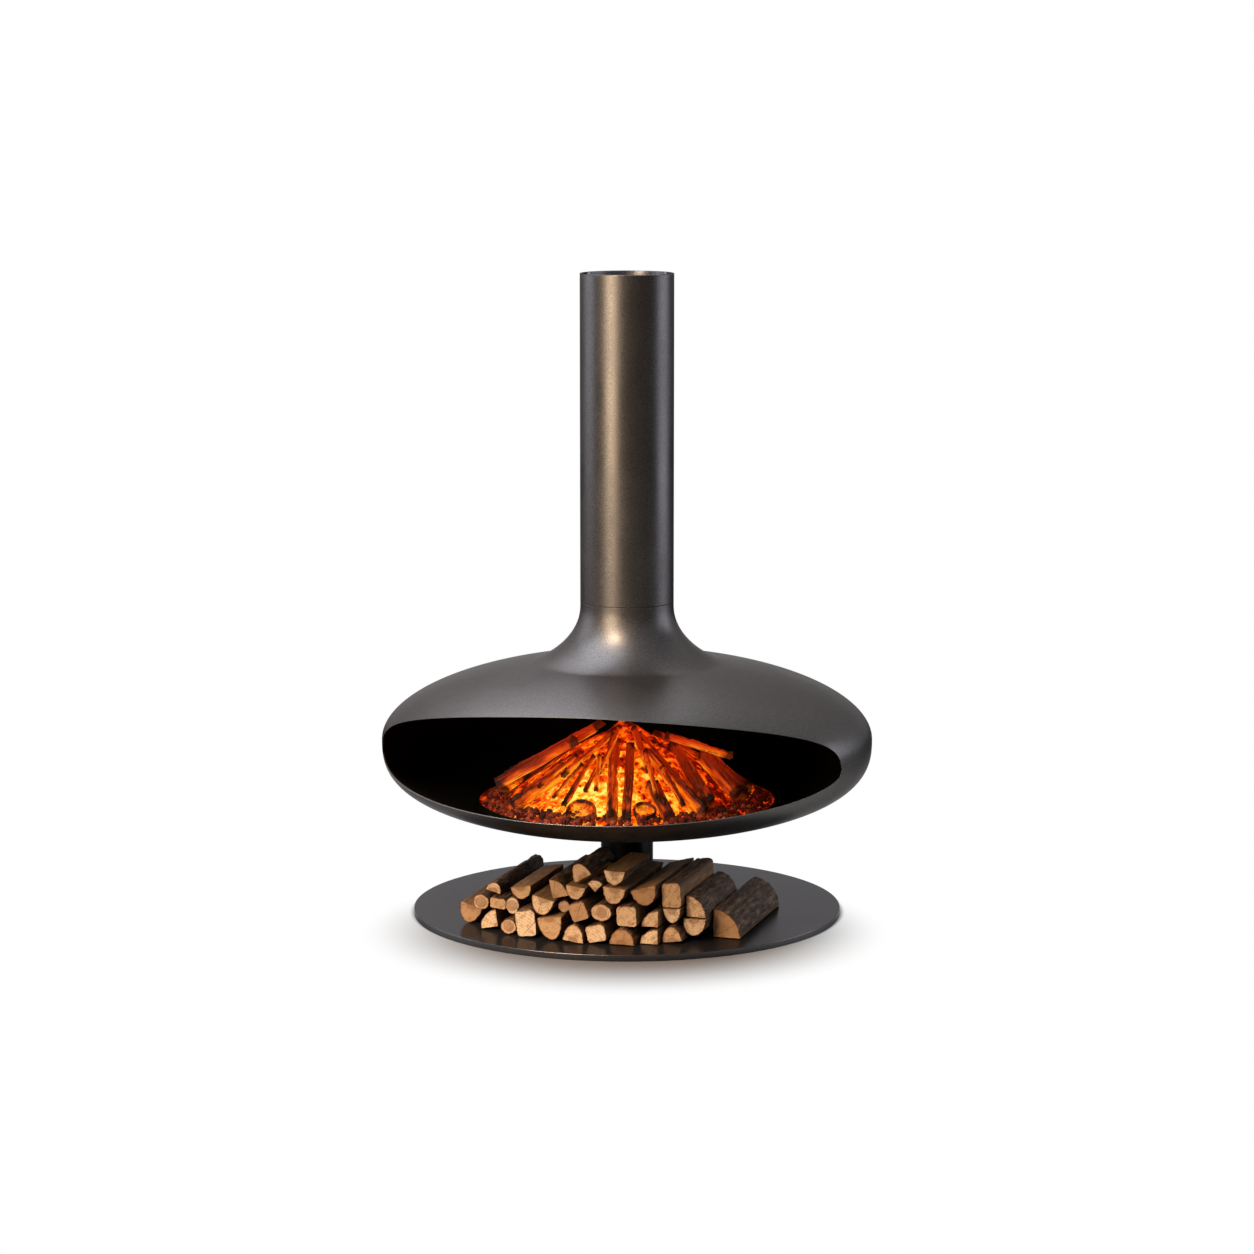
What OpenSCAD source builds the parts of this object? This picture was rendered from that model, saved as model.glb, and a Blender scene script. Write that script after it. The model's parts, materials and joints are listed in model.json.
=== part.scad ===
// Hanging fireplace: a swivelling steel bowl-and-hood body on a short column, a round base plate
// that stores firewood, a burning stack on an ember tray, and a flue duct that runs to the ceiling.
// Millimetres. Origin at floor level on the axis, +Z up, the mouth of the hood faces -Y.

/* [Base plate and column] */
// Diameter of the base plate
plate_d = 829; // [700:1:900]
// Thickness of the base plate
plate_t = 12; // [8:0.5:20]
// Diameter of the column tube
column_d = 101.6; // [98:0.1:120]
// Wall of the column tube
column_wall = 4; // [3:0.5:5]
// Height of the column above the base plate, foot and head included
column_h = 161.6; // [150:0.1:260]
// Thickness of the rings that show at the foot and at the head of the column
column_ring_t = 6; // [4:0.5:10]
// Depth of the foot plug inside the tube
foot_plug_h = 28; // [22:1:40]
// Shank diameter of the screws that hold the column to the plate
foot_screw_d = 10; // [8:1:12]
// Circle of the foot screws
foot_screw_circle_d = 60; // [50:1:66]

/* [Bowl and hood] */
// Widest diameter of the body
body_d = 948; // [860:1:1050]
// Depth of the bowl below the widest line, to the pole of its curve
bowl_depth = 174.3; // [150:0.1:200]
// How square the bowl is across
bowl_square_r = 2.06; // [1.9:0.01:2.3]
// How square the bowl is up and down
bowl_square_z = 2.78; // [2.4:0.01:3.1]
// Height of the dome above the widest line, to the pole of its curve
dome_h = 160.3; // [140:0.1:190]
// How square the dome is across
dome_square_r = 1.99; // [1.8:0.01:2.2]
// How square the dome is up and down
dome_square_z = 1.95; // [1.8:0.01:2.2]
// Sheet thickness of the body
shell_t = 4; // [2.5:0.5:6]
// Diameter of the flat under the bowl that the hub is bolted to
pad_d = 220; // [212:1:260]
// Drop of the weld seam below the widest line
seam_drop = 15.5; // [8:0.5:30]
// Width of the band that backs the weld seam inside
seam_band_w = 36; // [20:1:50]
// Thickness of the band that backs the weld seam
seam_band_t = 3; // [2:0.5:5]

/* [Neck] */
// Height of the end of the neck above the widest line
neck_h = 263.8; // [240:0.1:300]
// Length of the straight end of the neck
neck_straight = 8; // [5:0.5:20]
// Radius where the dome turns into the flare
flare_r = 185; // [165:1:205]
// Pull of the flare along the neck
flare_pull_neck = 67; // [50:1:75]
// Pull of the flare along the dome
flare_pull_dome = 16.5; // [8:0.5:30]

/* [Mouth] */
// Distance from the corners of the mouth to the side of the body, seen from the front
mouth_margin = 26.4; // [20:0.1:60]
// Drop of the mouth's corners below the widest line
mouth_sink = 18.4; // [10:0.1:30]
// Rise of the upper edge above the corners
mouth_rise = 117.4; // [90:0.1:125]
// Drop of the lower edge below the corners
mouth_drop = 69; // [45:0.1:75]
// Shape numbers of the upper edge, along and across
mouth_upper = [1.77, 2.77];
// Shape numbers of the lower edge, along and across
mouth_lower = [2.15, 2.5];

/* [Flue] */
// Outside diameter of the flue duct and of the end of the neck
flue_d = 180; // [176:1:190]
// Sheet thickness of the flue duct
flue_wall = 2; // [1:0.1:3]
// Length of the flue duct
flue_h = 629.7; // [500:0.1:900]
// Gap of the turning joint between the neck and the flue duct
flue_gap = 0.9; // [0.5:0.1:2]
// Air gap between the inner flue liner and the duct round it
liner_gap = 13; // [11:0.5:15]
// Sheet thickness of the inner flue liner
liner_wall = 1.5; // [1:0.1:2]
// Length of the liner that reaches down into the neck
liner_reach = 18; // [14:0.5:22]
// Thickness of the rings that centre the liner in the duct
spacer_t = 3; // [2:0.5:6]
// Distance of those rings from the ends of the duct
spacer_inset = 40; // [30:1:80]
// Number of holes in each of those rings
spacer_holes = 12; // [6:1:24]
// Height of the collar inside the neck
collar_h = 32; // [28:1:40]
// Side of the square rope seal
seal_side = 4; // [3:0.5:5]

/* [Swivel] */
// Diameter of the spindle that ties the hub to the column
spindle_d = 20; // [16:1:24]
// Wall of the spindle bush
bush_wall = 4; // [2.5:0.5:5]
// Length of the spindle bush
bush_h = 36; // [25:1:45]
// Diameter of the bearing balls
ball_d = 10; // [8:0.5:11]
// Number of bearing balls
ball_count = 14; // [10:1:15]
// Circle that the balls run on
ball_circle_d = 58; // [56:0.5:60]
// Outside diameter of the lower race and the pocket it sits in
race_d = 76; // [75:0.5:80]
// Inside diameter of the races
race_bore_d = 44; // [42:0.5:45]
// Thickness of each race
race_t = 8; // [7:0.5:10]
// Gap between the races
race_gap = 4; // [3.8:0.1:5]
// Thickness of the ball cage
cage_t = 3; // [2:0.1:3.2]
// Height that the upper race stands below the head of the column
race_sink = 4; // [2:0.5:8]
// Diameter of the hub flange inside the bowl
hub_flange_d = 200; // [190:1:208]
// Thickness of the hub flange
hub_flange_t = 10; // [8:0.5:14]
// Circle of the hub screws
hub_screw_circle_d = 150; // [136:1:170]
// Shank diameter of the hub screws
hub_screw_d = 8; // [6:1:10]
// Number of hub screws
hub_screw_count = 6; // [3:1:8]

/* [Hearth] */
// Diameter of the insulation board under the hearth
board_d = 380; // [300:1:390]
// Thickness of the insulation board
board_t = 15; // [12:0.5:25]
// Thickness of the hearth plate
hearth_t = 5; // [3:0.5:8]
// Outside diameter of the ember tray
tray_d = 578; // [560:1:590]
// Sheet thickness of the ember tray
tray_t = 3; // [2:0.5:4]
// Height of the rim of the ember tray
tray_rim_h = 15; // [10:0.5:20]
// Height of the ember bed to the point of its cone, above the tray
ember_h = 154; // [120:0.5:170]
// Height of the flat edge of the ember bed above the tray
ember_edge_h = 5; // [3:0.5:10]
// Width of the flat edge of the ember bed
ember_edge_w = 33; // [20:1:50]
// Diameter of the lava lumps along the edge of the ember bed
lump_d = 17; // [12:1:20]

/* [Damper] */
// Step in from the outside of the liner to the inside of the throat tube
throat_step = 1; // [0.5:0.1:4]
// Sheet thickness of the throat tube
throat_wall = 2.5; // [1.5:0.1:3]
// Length of the throat tube below the collar
throat_h = 105; // [95:1:120]
// Distance of the damper spindle below the end of the neck
damper_drop = 98; // [96:1:110]
// Gap round the closed damper flap
flap_gap = 0.8; // [0.6:0.1:3]
// Thickness of the damper flap
flap_t = 3; // [2:0.5:4]
// Diameter of the damper spindle
damper_rod_d = 12; // [10:0.5:14]
// Length of the damper lever
lever_l = 100; // [70:1:120]
// Width of the damper lever
lever_w = 12; // [9:0.5:16]
// Thickness of the damper lever
lever_t = 5; // [3:0.5:8]
// Diameter of the knob on the damper lever
knob_d = 22; // [16:1:28]

/* [Firewood] */
// Length of the split firewood
log_l = 290; // [240:1:330]
// Turn of the firewood away from the front
log_yaw = 4; // [0:0.5:8]
// Radius of the arc that the front ends of the firewood follow
pile_arc_r = 340; // [320:1:355]
// Room left between the firewood and the column
pile_room = 8; // [5:1:20]

/* [Hidden] */
$fn = 96;

// Clearances
fit = 0.1;           // pieces pushed or screwed together
run = 0.05;          // a shaft in its bore
turn_gap = 0.8;      // turning parts that pass each other
seat = 0.3;          // pieces that lie on each other
over = 1;            // how far a cutter reaches past what it cuts

// Heights along the axis
plate_top = plate_t;
column_top = plate_top + column_h;
pad_z = column_top + turn_gap;
pad_r = pad_d / 2;
body_r = body_d / 2;
pad_a = asin(pow(pad_r / body_r, bowl_square_r / 2));
eq_z = pad_z + bowl_depth * pow(cos(pad_a), 2 / bowl_square_z);
seam_z = eq_z - seam_drop;
neck_top = eq_z + neck_h;
duct_z = neck_top + flue_gap;
duct_top = duct_z + flue_h;

// Colours
steel_dark = "#3b3a3c";
steel_black = "#1f1f20";
steel_raw = "#8d9094";
bronze_grey = "#4a4543";
wood_light = "#c39a6b";
wood_fire = "#a4521e";
ember_red = "#c8431a";

// ---------- Body outline ----------
// The bowl and the dome are quarter curves of r = R sin(a)^(2/p), z = H cos(a)^(2/q).

function bowl_pt(a) = [body_r * pow(sin(a), 2 / bowl_square_r),
    eq_z - bowl_depth * pow(cos(a), 2 / bowl_square_z)];
function dome_pt(a) = [body_r * pow(sin(a), 2 / dome_square_r),
    eq_z + dome_h * pow(cos(a), 2 / dome_square_z)];
function unit(v) = v / norm(v);
function bezier(p, t) = pow(1 - t, 3) * p[0] + 3 * t * pow(1 - t, 2) * p[1]
    + 3 * t * t * (1 - t) * p[2] + pow(t, 3) * p[3];

seam_a = acos(pow(seam_drop / bowl_depth, bowl_square_z / 2));
flare_a = asin(pow(flare_r / body_r, dome_square_r / 2));
flare_start = dome_pt(flare_a);
flare_way = unit(dome_pt(flare_a - 1) - flare_start);
flare_end = [flue_d / 2, neck_top - neck_straight];
flare = [flare_start, flare_start + flare_pull_dome * flare_way,
    flare_end - [0, flare_pull_neck], flare_end];

bowl_steps = 22;
rim_steps = 3;
dome_steps = 22;
flare_steps = 12;
bowl_line = [for (i = [0:bowl_steps]) bowl_pt(pad_a + (seam_a - pad_a) * i / bowl_steps)];
rim_line = [for (i = [0:rim_steps - 1]) bowl_pt(seam_a + (90 - seam_a) * i / rim_steps)];
dome_line = [for (i = [0:dome_steps]) dome_pt(90 + (flare_a - 90) * i / dome_steps)];
flare_line = [for (i = [1:flare_steps]) bezier(flare, i / flare_steps)];
hood_line = concat(rim_line, dome_line, flare_line, [[flue_d / 2, neck_top]]);

// A line moved inwards by t, square to itself. Its first and last points keep their height.
function inward(line, t) = let (last = len(line) - 1) [for (i = [0:last])
    let (way = unit(line[min(i + 1, last)] - line[max(i - 1, 0)]))
    (i == 0 || i == last) ? [line[i][0] - t / max(0.2, way[1]), line[i][1]]
        : line[i] + t * [-way[1], way[0]]];
function reversed(list) = [for (i = [len(list) - 1:-1:0]) list[i]];

// Inside of the bowl, and its radius at a height
function bowl_inside(a) = let (way = unit(bowl_pt(a + 0.5) - bowl_pt(a - 0.5)))
    bowl_pt(a) + shell_t * [-way[1], way[0]];
function inside_r(z, low, high, turns) = let (mid = (low + high) / 2, p = bowl_inside(mid))
    turns == 0 ? p[0] : p[1] < z ? inside_r(z, mid, high, turns - 1) : inside_r(z, low, mid, turns - 1);

// ---------- Mouth ----------
mouth_r = body_r - mouth_margin;
mouth_z = eq_z - mouth_sink;
mouth_steps = 26;
function mouth_edge(w, height, shape) =
    height * pow(max(0, 1 - pow(abs(w) / mouth_r, shape[0])), 1 / shape[1]);
function mouth_w(i) = -mouth_r * cos(180 * i / mouth_steps);
mouth_line = concat(
    [for (i = [0:mouth_steps]) [mouth_w(i), mouth_z - mouth_edge(mouth_w(i), mouth_drop, mouth_lower)]],
    [for (i = [mouth_steps - 1:-1:1])
        [mouth_w(i), mouth_z + mouth_edge(mouth_w(i), mouth_rise, mouth_upper)]]);

module mouth_cutter() {
    rotate([90, 0, 0])
        linear_extrude(height = body_r + over)
            polygon(mouth_line);
}

// ---------- Base plate and column ----------
column_r = column_d / 2;
plug_r = column_r - column_wall - fit;
plug_top = column_top - column_ring_t;
foot_screw_r = foot_screw_d / 2;
foot_head_r = foot_screw_d * 0.9;
foot_head_h = foot_screw_d * 0.4;
foot_screw_l = plate_t + column_ring_t + foot_plug_h * 0.6;
foot_screw_count = 4;
pocket_d = race_sink + 2 * race_t + race_gap;
pocket_z = column_top - pocket_d;
head_z = pocket_z - bush_h;
bush_r = spindle_d / 2 + bush_wall;

module around(count, circle_d, start = 0) {
    for (i = [0:count - 1])
        rotate([0, 0, start + 360 * i / count])
            translate([circle_d / 2, 0, 0])
                children();
}

module tube(outer_r, inner_r, h) {
    difference() {
        cylinder(r = outer_r, h = h);
        translate([0, 0, -over])
            cylinder(r = inner_r, h = h + 2 * over);
    }
}

// Countersunk screw, head down
module foot_screw(play) {
    cylinder(r1 = foot_head_r + play, r2 = foot_screw_r + play, h = foot_head_h);
    cylinder(r = foot_screw_r + play, h = foot_screw_l);
}

module base_plate() {
    color(steel_dark)
        difference() {
            cylinder(d = plate_d, h = plate_t);
            around(foot_screw_count, foot_screw_circle_d, 45) {
                translate([0, 0, seat])
                    foot_screw(fit);
                translate([0, 0, -over])
                    cylinder(r = foot_head_r + fit, h = over + seat);
            }
        }
}

module column_foot() {
    color(steel_black)
        difference() {
            union() {
                translate([0, 0, plate_top])
                    cylinder(r = column_r, h = column_ring_t);
                translate([0, 0, plate_top])
                    cylinder(r = plug_r, h = column_ring_t + foot_plug_h);
            }
            around(foot_screw_count, foot_screw_circle_d, 45)
                cylinder(r = foot_screw_r + fit, h = foot_screw_l + over);
        }
}

module column_tube() {
    color(steel_black)
        translate([0, 0, plate_top + column_ring_t])
            tube(column_r, column_r - column_wall, column_h - 2 * column_ring_t);
}

// Plug with the bearing pocket on top and the bush bore below
module column_head() {
    color(steel_black)
        difference() {
            union() {
                translate([0, 0, head_z])
                    cylinder(r = plug_r, h = column_top - head_z);
                translate([0, 0, plug_top])
                    cylinder(r = column_r, h = column_ring_t);
            }
            translate([0, 0, pocket_z])
                cylinder(d = race_d, h = pocket_d + over);
            translate([0, 0, head_z - over])
                cylinder(r = bush_r, h = bush_h + 2 * over);
        }
}

module foot_screws() {
    color(steel_raw)
        translate([0, 0, seat])
            around(foot_screw_count, foot_screw_circle_d, 45)
                foot_screw(0);
}

// ---------- Swivel bearing ----------
ball_z = pocket_z + race_t + race_gap / 2;
upper_race_z = pocket_z + race_t + race_gap;
boss_r = race_d / 2 - turn_gap;
race_bore_r = race_bore_d / 2;
ball_play = 0.1;
groove_fn = 48;

module ball_groove() {
    translate([0, 0, ball_z])
        rotate_extrude()
            translate([ball_circle_d / 2, 0])
                circle(d = ball_d + 2 * ball_play, $fn = groove_fn);
}

module lower_race() {
    color(steel_raw)
        difference() {
            translate([0, 0, pocket_z])
                tube(race_d / 2 - fit, race_bore_r, race_t);
            ball_groove();
        }
}

module upper_race() {
    color(steel_raw)
        difference() {
            translate([0, 0, upper_race_z])
                tube(boss_r, race_bore_r, race_t);
            ball_groove();
        }
}

module bearing_cage() {
    cage_gap = 0.7;
    color("#b08d4a")
        difference() {
            translate([0, 0, ball_z - cage_t / 2])
                tube(race_d / 2 - 2 * cage_gap, race_bore_r + cage_gap, cage_t);
            around(ball_count, ball_circle_d)
                translate([0, 0, ball_z - cage_t])
                    cylinder(d = ball_d + 2 * ball_play, h = 2 * cage_t);
        }
}

module bearing_balls() {
    color(steel_raw)
        around(ball_count, ball_circle_d)
            translate([0, 0, ball_z])
                sphere(d = ball_d);
}

module spindle_bush() {
    color("#b08d4a")
        translate([0, 0, head_z])
            tube(bush_r - fit, spindle_d / 2 + run, bush_h);
}

// ---------- Hub and spindle ----------
hub_z = pad_z + shell_t;
hub_top = hub_z + hub_flange_t;
boss_bottom = upper_race_z + race_t;
hub_hole_r = boss_r + seat;
hub_screw_r = hub_screw_d / 2;
hub_screw_head_h = hub_screw_d * 0.6;
hub_screw_l = shell_t + hub_flange_t * 0.8;
spindle_head_d = spindle_d * 1.6;
spindle_head_h = spindle_d * 0.4;
washer_d = spindle_d * 1.8;
washer_t = spindle_d * 0.15;
nut_h = spindle_d * 0.8;
nut_z = head_z - seat - washer_t - nut_h;
spindle_end = nut_z - spindle_d * 0.15;

module bowl_hub() {
    register_h = race_t - over;
    color(steel_black)
        difference() {
            union() {
                translate([0, 0, hub_z])
                    cylinder(d = hub_flange_d, h = hub_flange_t);
                translate([0, 0, boss_bottom])
                    cylinder(r = boss_r, h = hub_top - boss_bottom);
                translate([0, 0, boss_bottom - register_h])
                    cylinder(r = race_bore_r - fit, h = register_h + over);
            }
            translate([0, 0, boss_bottom - race_t - over])
                cylinder(d = spindle_d + 2 * fit, h = hub_top);
            around(hub_screw_count, hub_screw_circle_d)
                translate([0, 0, pad_z])
                    cylinder(r = hub_screw_r + fit, h = hub_screw_l + seat);
        }
}

module hub_screws() {
    color(steel_raw)
        around(hub_screw_count, hub_screw_circle_d) {
            translate([0, 0, pad_z - hub_screw_head_h])
                cylinder(d = hub_screw_d * 1.7, h = hub_screw_head_h);
            translate([0, 0, pad_z - hub_screw_head_h])
                cylinder(r = hub_screw_r, h = hub_screw_head_h + hub_screw_l);
        }
}

module spindle() {
    color(steel_raw) {
        translate([0, 0, hub_top])
            cylinder(d = spindle_head_d, h = spindle_head_h);
        translate([0, 0, spindle_end])
            cylinder(d = spindle_d, h = hub_top - spindle_end + over);
    }
}

module spindle_washer() {
    color(steel_raw)
        translate([0, 0, nut_z + nut_h])
            tube(washer_d / 2, spindle_d / 2 + fit, washer_t);
}

module spindle_nut() {
    color(steel_raw)
        translate([0, 0, nut_z])
            difference() {
                cylinder(d = washer_d, h = nut_h, $fn = 6);
                translate([0, 0, -over])
                    cylinder(r = spindle_d / 2 + run, h = nut_h + 2 * over, $fn = 48);
            }
}

// ---------- Body shells ----------
module lower_shell() {
    outer = concat([[hub_hole_r, pad_z]], bowl_line);
    wall_line = inward(bowl_line, shell_t);
    inner = concat([[hub_hole_r, hub_z], [pad_r, hub_z]], [for (i = [1:bowl_steps]) wall_line[i]]);
    color(bronze_grey)
        difference() {
            rotate_extrude()
                polygon(concat(outer, reversed(inner)));
            mouth_cutter();
            around(hub_screw_count, hub_screw_circle_d)
                translate([0, 0, pad_z - over])
                    cylinder(r = hub_screw_r + fit, h = shell_t + 2 * over);
        }
}

module upper_shell() {
    color(bronze_grey)
        difference() {
            rotate_extrude()
                polygon(concat(hood_line, reversed(inward(hood_line, shell_t))));
            mouth_cutter();
        }
}

// Band welded behind the seam, round the back from one corner of the mouth to the other
module seam_band() {
    corner_a = asin(mouth_r / body_r);
    clear_a = corner_a + 5;
    reach = 2 * body_r;
    half = seam_band_w / 2;
    low_a = acos(pow((seam_drop + half) / bowl_depth, bowl_square_z / 2));
    line = [for (i = [0:6]) bowl_pt(low_a + (seam_a + 1 - low_a) * i / 6)];
    color(steel_black)
        difference() {
            rotate_extrude()
                polygon(concat(inward(line, shell_t + seat),
                    reversed(inward(line, shell_t + seat + seam_band_t))));
            linear_extrude(height = eq_z)
                polygon([[0, 0], [-reach * sin(clear_a), -reach * cos(clear_a)], [-reach, -2 * reach],
                    [reach, -2 * reach], [reach * sin(clear_a), -reach * cos(clear_a)]]);
        }
}

// ---------- Hearth ----------
board_z = hub_top;
hearth_z = board_z + board_t;
hearth_top = hearth_z + hearth_t;
hearth_r = inside_r(hearth_z, pad_a + 1, 89, 24) - 2 * seat;
tray_r = tray_d / 2;
bed_z = hearth_top + tray_t;

module insulation_board() {
    color("#cdbf9f")
        translate([0, 0, board_z])
            tube(board_d / 2, spindle_head_d / 2 + turn_gap, board_t);
}

module hearth_plate() {
    color(steel_black)
        translate([0, 0, hearth_z])
            cylinder(r = hearth_r, h = hearth_t);
}

module ember_tray() {
    color(steel_black)
        translate([0, 0, hearth_top])
            difference() {
                cylinder(r = tray_r, h = tray_rim_h);
                translate([0, 0, tray_t])
                    cylinder(r = tray_r - tray_t, h = tray_rim_h);
            }
}

// ---------- Fire ----------
ember_r = tray_r - tray_t - seat;
shelf_r = ember_r - ember_edge_w;
ember_slope = (ember_h - ember_edge_h) / shelf_r;
ember_tip_r = 14;
function ember_z(r) = bed_z + max(ember_edge_h, ember_h - ember_slope * max(r, ember_tip_r));

module ember_bed() {
    color(ember_red)
        translate([0, 0, bed_z])
            rotate_extrude()
                polygon([[0, 0], [ember_r, 0], [ember_r, ember_edge_h * 0.6], [ember_r - 3, ember_edge_h],
                    [shelf_r, ember_edge_h], [ember_tip_r, ember_z(0) - bed_z], [0, ember_z(0) - bed_z]]);
}

// Lumps of lava of changing size, loose on the flat edge of the ember bed
module lava_lumps() {
    sway = 2.5;
    ring_r = shelf_r + ember_edge_w * 0.56;
    step_a = 2 * asin((lump_d / 2 + 0.5) / (ring_r - sway));
    count = floor(360 / step_a);
    color("#5a2c1e")
        for (i = [0:count - 1])
            let (r = lump_d * (0.45 + 0.05 * sin(151 * i)))
                rotate([0, 0, 360 * i / count])
                    translate([ring_r + sway * sin(97 * i), 0, bed_z + ember_edge_h + r + seat])
                        sphere(r = r, $fn = 32);
}

// Burning pieces: [foot x, foot y, tip x, tip y, width, height, outline]
FIRE_FRONT = [
    [-230, -74, -230, 58, 22, 14, 1], [234, -58, 228, 66, 24, 14, 1], [27, -248, -14, -46, 21, 22, 1],
    [55, -243, 21, -58, 18, 20, 6], [-42, -170, -26, -85, 9, 9, 6], [-77, -200, -45, -78, 12, 13, 1],
    [-180, -168, -93, -93, 26, 24, 1], [-237, -76, -82, -46, 24, 22, 4], [129, -212, 77, -140, 22, 22, 6],
    [184, -160, 54, -64, 24, 24, 1], [188, -134, 82, -2, 21, 22, 4], [237, -79, 149, 5, 30, 26, 6],
    [245, -40, 166, 44, 22, 22, 1]];
FIRE_BACK = [
    [-246, 24, -46, 14, 16, 16, 1], [-221, 117, -88, 52, 24, 22, 4], [-158, 194, -58, 62, 22, 22, 1],
    [-62, 242, -22, 72, 24, 24, 6], [34, 247, 16, 76, 22, 22, 1], [128, 214, 46, 68, 24, 24, 5],
    [212, 130, 40, 28, 19, 20, 1]];
KINDLING = [
    [-96, -128, -16, -34, 11, 12, 1], [-18, -160, -4, -40, 10, 10, 1], [74, -132, 20, -30, 13, 12, 1],
    [118, -88, 24, -12, 12, 12, 1], [-60, 110, -14, 40, 12, 12, 1], [-100, -186, -60, -112, 9, 9, 1],
    [-136, -160, -74, -92, 10, 10, 1], [104, -196, 62, -116, 10, 10, 1], [-10, -218, -24, -128, 9, 9, 1],
    [152, -186, 92, -108, 12, 11, 1], [-150, -40, -50, -22, 12, 12, 1], [214, -38, 78, -14, 16, 15, 1]];
FIRE = concat(FIRE_FRONT, FIRE_BACK, KINDLING);
SLICES = [[-41, -249, -31, -188, 62, 15], [88, -224, 71, -182, 46, 14]];

// Outlines of split wood, w wide and h high, standing on zero
function outline(kind, w, h) =
    kind == 0 ? [for (a = [0:30:330]) [w / 2 * cos(a), h / 2 * (1 + sin(a))]]
    : kind == 1 ? concat([[-w / 2, 0], [w / 2, 0]], [for (a = [10:20:170]) [w / 2 * cos(a), h * sin(a)]])
    : kind == 2 ? [for (p = outline(1, w, h)) [-p[0], h - p[1]]]
    : kind == 3 ? [[0, 0], [w / 2, 0.68 * h], [0.3 * w, 0.92 * h], [0, h], [-0.3 * w, 0.92 * h],
        [-w / 2, 0.68 * h]]
    : kind == 4 ? concat([[-w / 2, 0]], [for (a = [0:18:90]) [w * (cos(a) - 0.5), h * sin(a)]])
    : kind == 5 ? [for (p = reversed(outline(4, w, h))) [-p[0], p[1]]]
    : [[-0.42 * w, 0], [0.42 * w, 0], [w / 2, 0.12 * h], [0.48 * w, 0.84 * h], [0.36 * w, h],
        [-0.4 * w, 0.96 * h], [-w / 2, 0.8 * h], [-0.48 * w, 0.14 * h]];

// Every outline point of one shape across
function across(line) = [for (p = line) p[0]];

// Lowest and highest points of an outline at one place across
function crossings(line, u) = [for (i = [0:len(line) - 1])
    let (a = line[i], b = line[(i + 1) % len(line)], low = min(a[0], b[0]), high = max(a[0], b[0]))
    if (u >= low && u <= high) for (z = high - low < 0.001 ? [a[1], b[1]]
        : [a[1] + (b[1] - a[1]) * (u - a[0]) / (b[0] - a[0])]) z];

// A laid piece is [foot, tip, outline]. This is the height of its top, or of the cut end past its
// top, at a place. It is zero where the piece does not reach.
function top_over(laid, p) =
    let (foot = laid[0], run = laid[1] - foot, length = norm([run[0], run[1]]), rise = max(run[2], 0.01),
        along = ((p[0] - foot[0]) * run[0] + (p[1] - foot[1]) * run[1]) / length,
        beside = ((p[1] - foot[1]) * run[0] - (p[0] - foot[0]) * run[1]) / length,
        tops = crossings(laid[2], beside), thick = len(tops) == 0 ? 0 : max(tops))
    (along < -thick * rise / norm(run) || along > length || len(tops) == 0) ? 0
        : foot[2] + min(rise * along / length + thick * norm(run) / length,
            rise + (length - along) * length / rise);
function heap_top(p, below) = max(concat([ember_z(norm(p))], [for (laid = below) top_over(laid, p)]));

// Lays a piece over the embers and the pieces below it, as low as they let it
lay_steps = 16;
function lay(piece, below) =
    let (foot = [piece[0], piece[1]], tip = [piece[2], piece[3]], way = unit(tip - foot),
        aside = [-way[1], way[0]] * piece[4] / 2, foot_z = heap_top(foot, below),
        tip_z = heap_top(tip, below), lift = max([for (i = [0:lay_steps]) for (side = [-1, 0, 1])
            let (t = i / lay_steps) heap_top(foot + t * (tip - foot) + side * aside, below)
                - foot_z - t * (tip_z - foot_z)]))
    [[foot[0], foot[1], foot_z + lift + seat], [tip[0], tip[1], tip_z + lift + seat],
        outline(piece[6], piece[4], piece[5])];
function laid_fire(i, done) = i == len(FIRE) ? done : laid_fire(i + 1, concat(done, [lay(FIRE[i], done)]));

// Turns a child, built along +X from its foot, to run from foot to tip
module point_along(foot, tip) {
    run = tip - foot;
    translate(foot)
        rotate([0, -atan2(run[2], norm([run[0], run[1]])), atan2(run[1], run[0])])
            children();
}

module fire_pieces(first, count) {
    laid = laid_fire(0, []);
    color(wood_fire)
        for (i = [first:first + count - 1])
            point_along(laid[i][0], laid[i][1])
                rotate([90, 0, 90])
                    linear_extrude(height = norm(laid[i][1] - laid[i][0]))
                        polygon(laid[i][2]);
}

module fire_logs_front() {
    fire_pieces(0, len(FIRE_FRONT));
}

module fire_logs_back() {
    fire_pieces(len(FIRE_FRONT), len(FIRE_BACK));
}

module fire_kindling() {
    fire_pieces(len(FIRE_FRONT) + len(FIRE_BACK), len(KINDLING));
}

// Round slices that lean on the embers
module wood_slices() {
    color(wood_fire)
        for (slice = SLICES)
            let (laid = lay([slice[0], slice[1], slice[2], slice[3], slice[4], slice[5], 1], []))
                point_along(laid[0], laid[1])
                    translate([slice[4] / 2, 0, seat])
                        cylinder(d = slice[4], h = slice[5]);
}

// ---------- Flue and neck ----------
flue_r = flue_d / 2;
liner_r = flue_r - flue_wall - liner_gap;
liner_z = neck_top - liner_reach;
collar_inset = 1;
collar_z = neck_top - collar_inset - collar_h;
throat_top = liner_z - 2;
collar_outer_r = flue_r - shell_t - seat;
collar_bore_r = liner_r + turn_gap;
throat_r = liner_r - throat_step;
seal_z = neck_top - collar_inset - 2 * seal_side;

module flue_duct() {
    color(bronze_grey)
        translate([0, 0, duct_z])
            tube(flue_r, flue_r - flue_wall, flue_h);
}

module flue_liner() {
    color(steel_raw)
        translate([0, 0, liner_z])
            tube(liner_r, liner_r - liner_wall, duct_top - liner_z);
}

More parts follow.
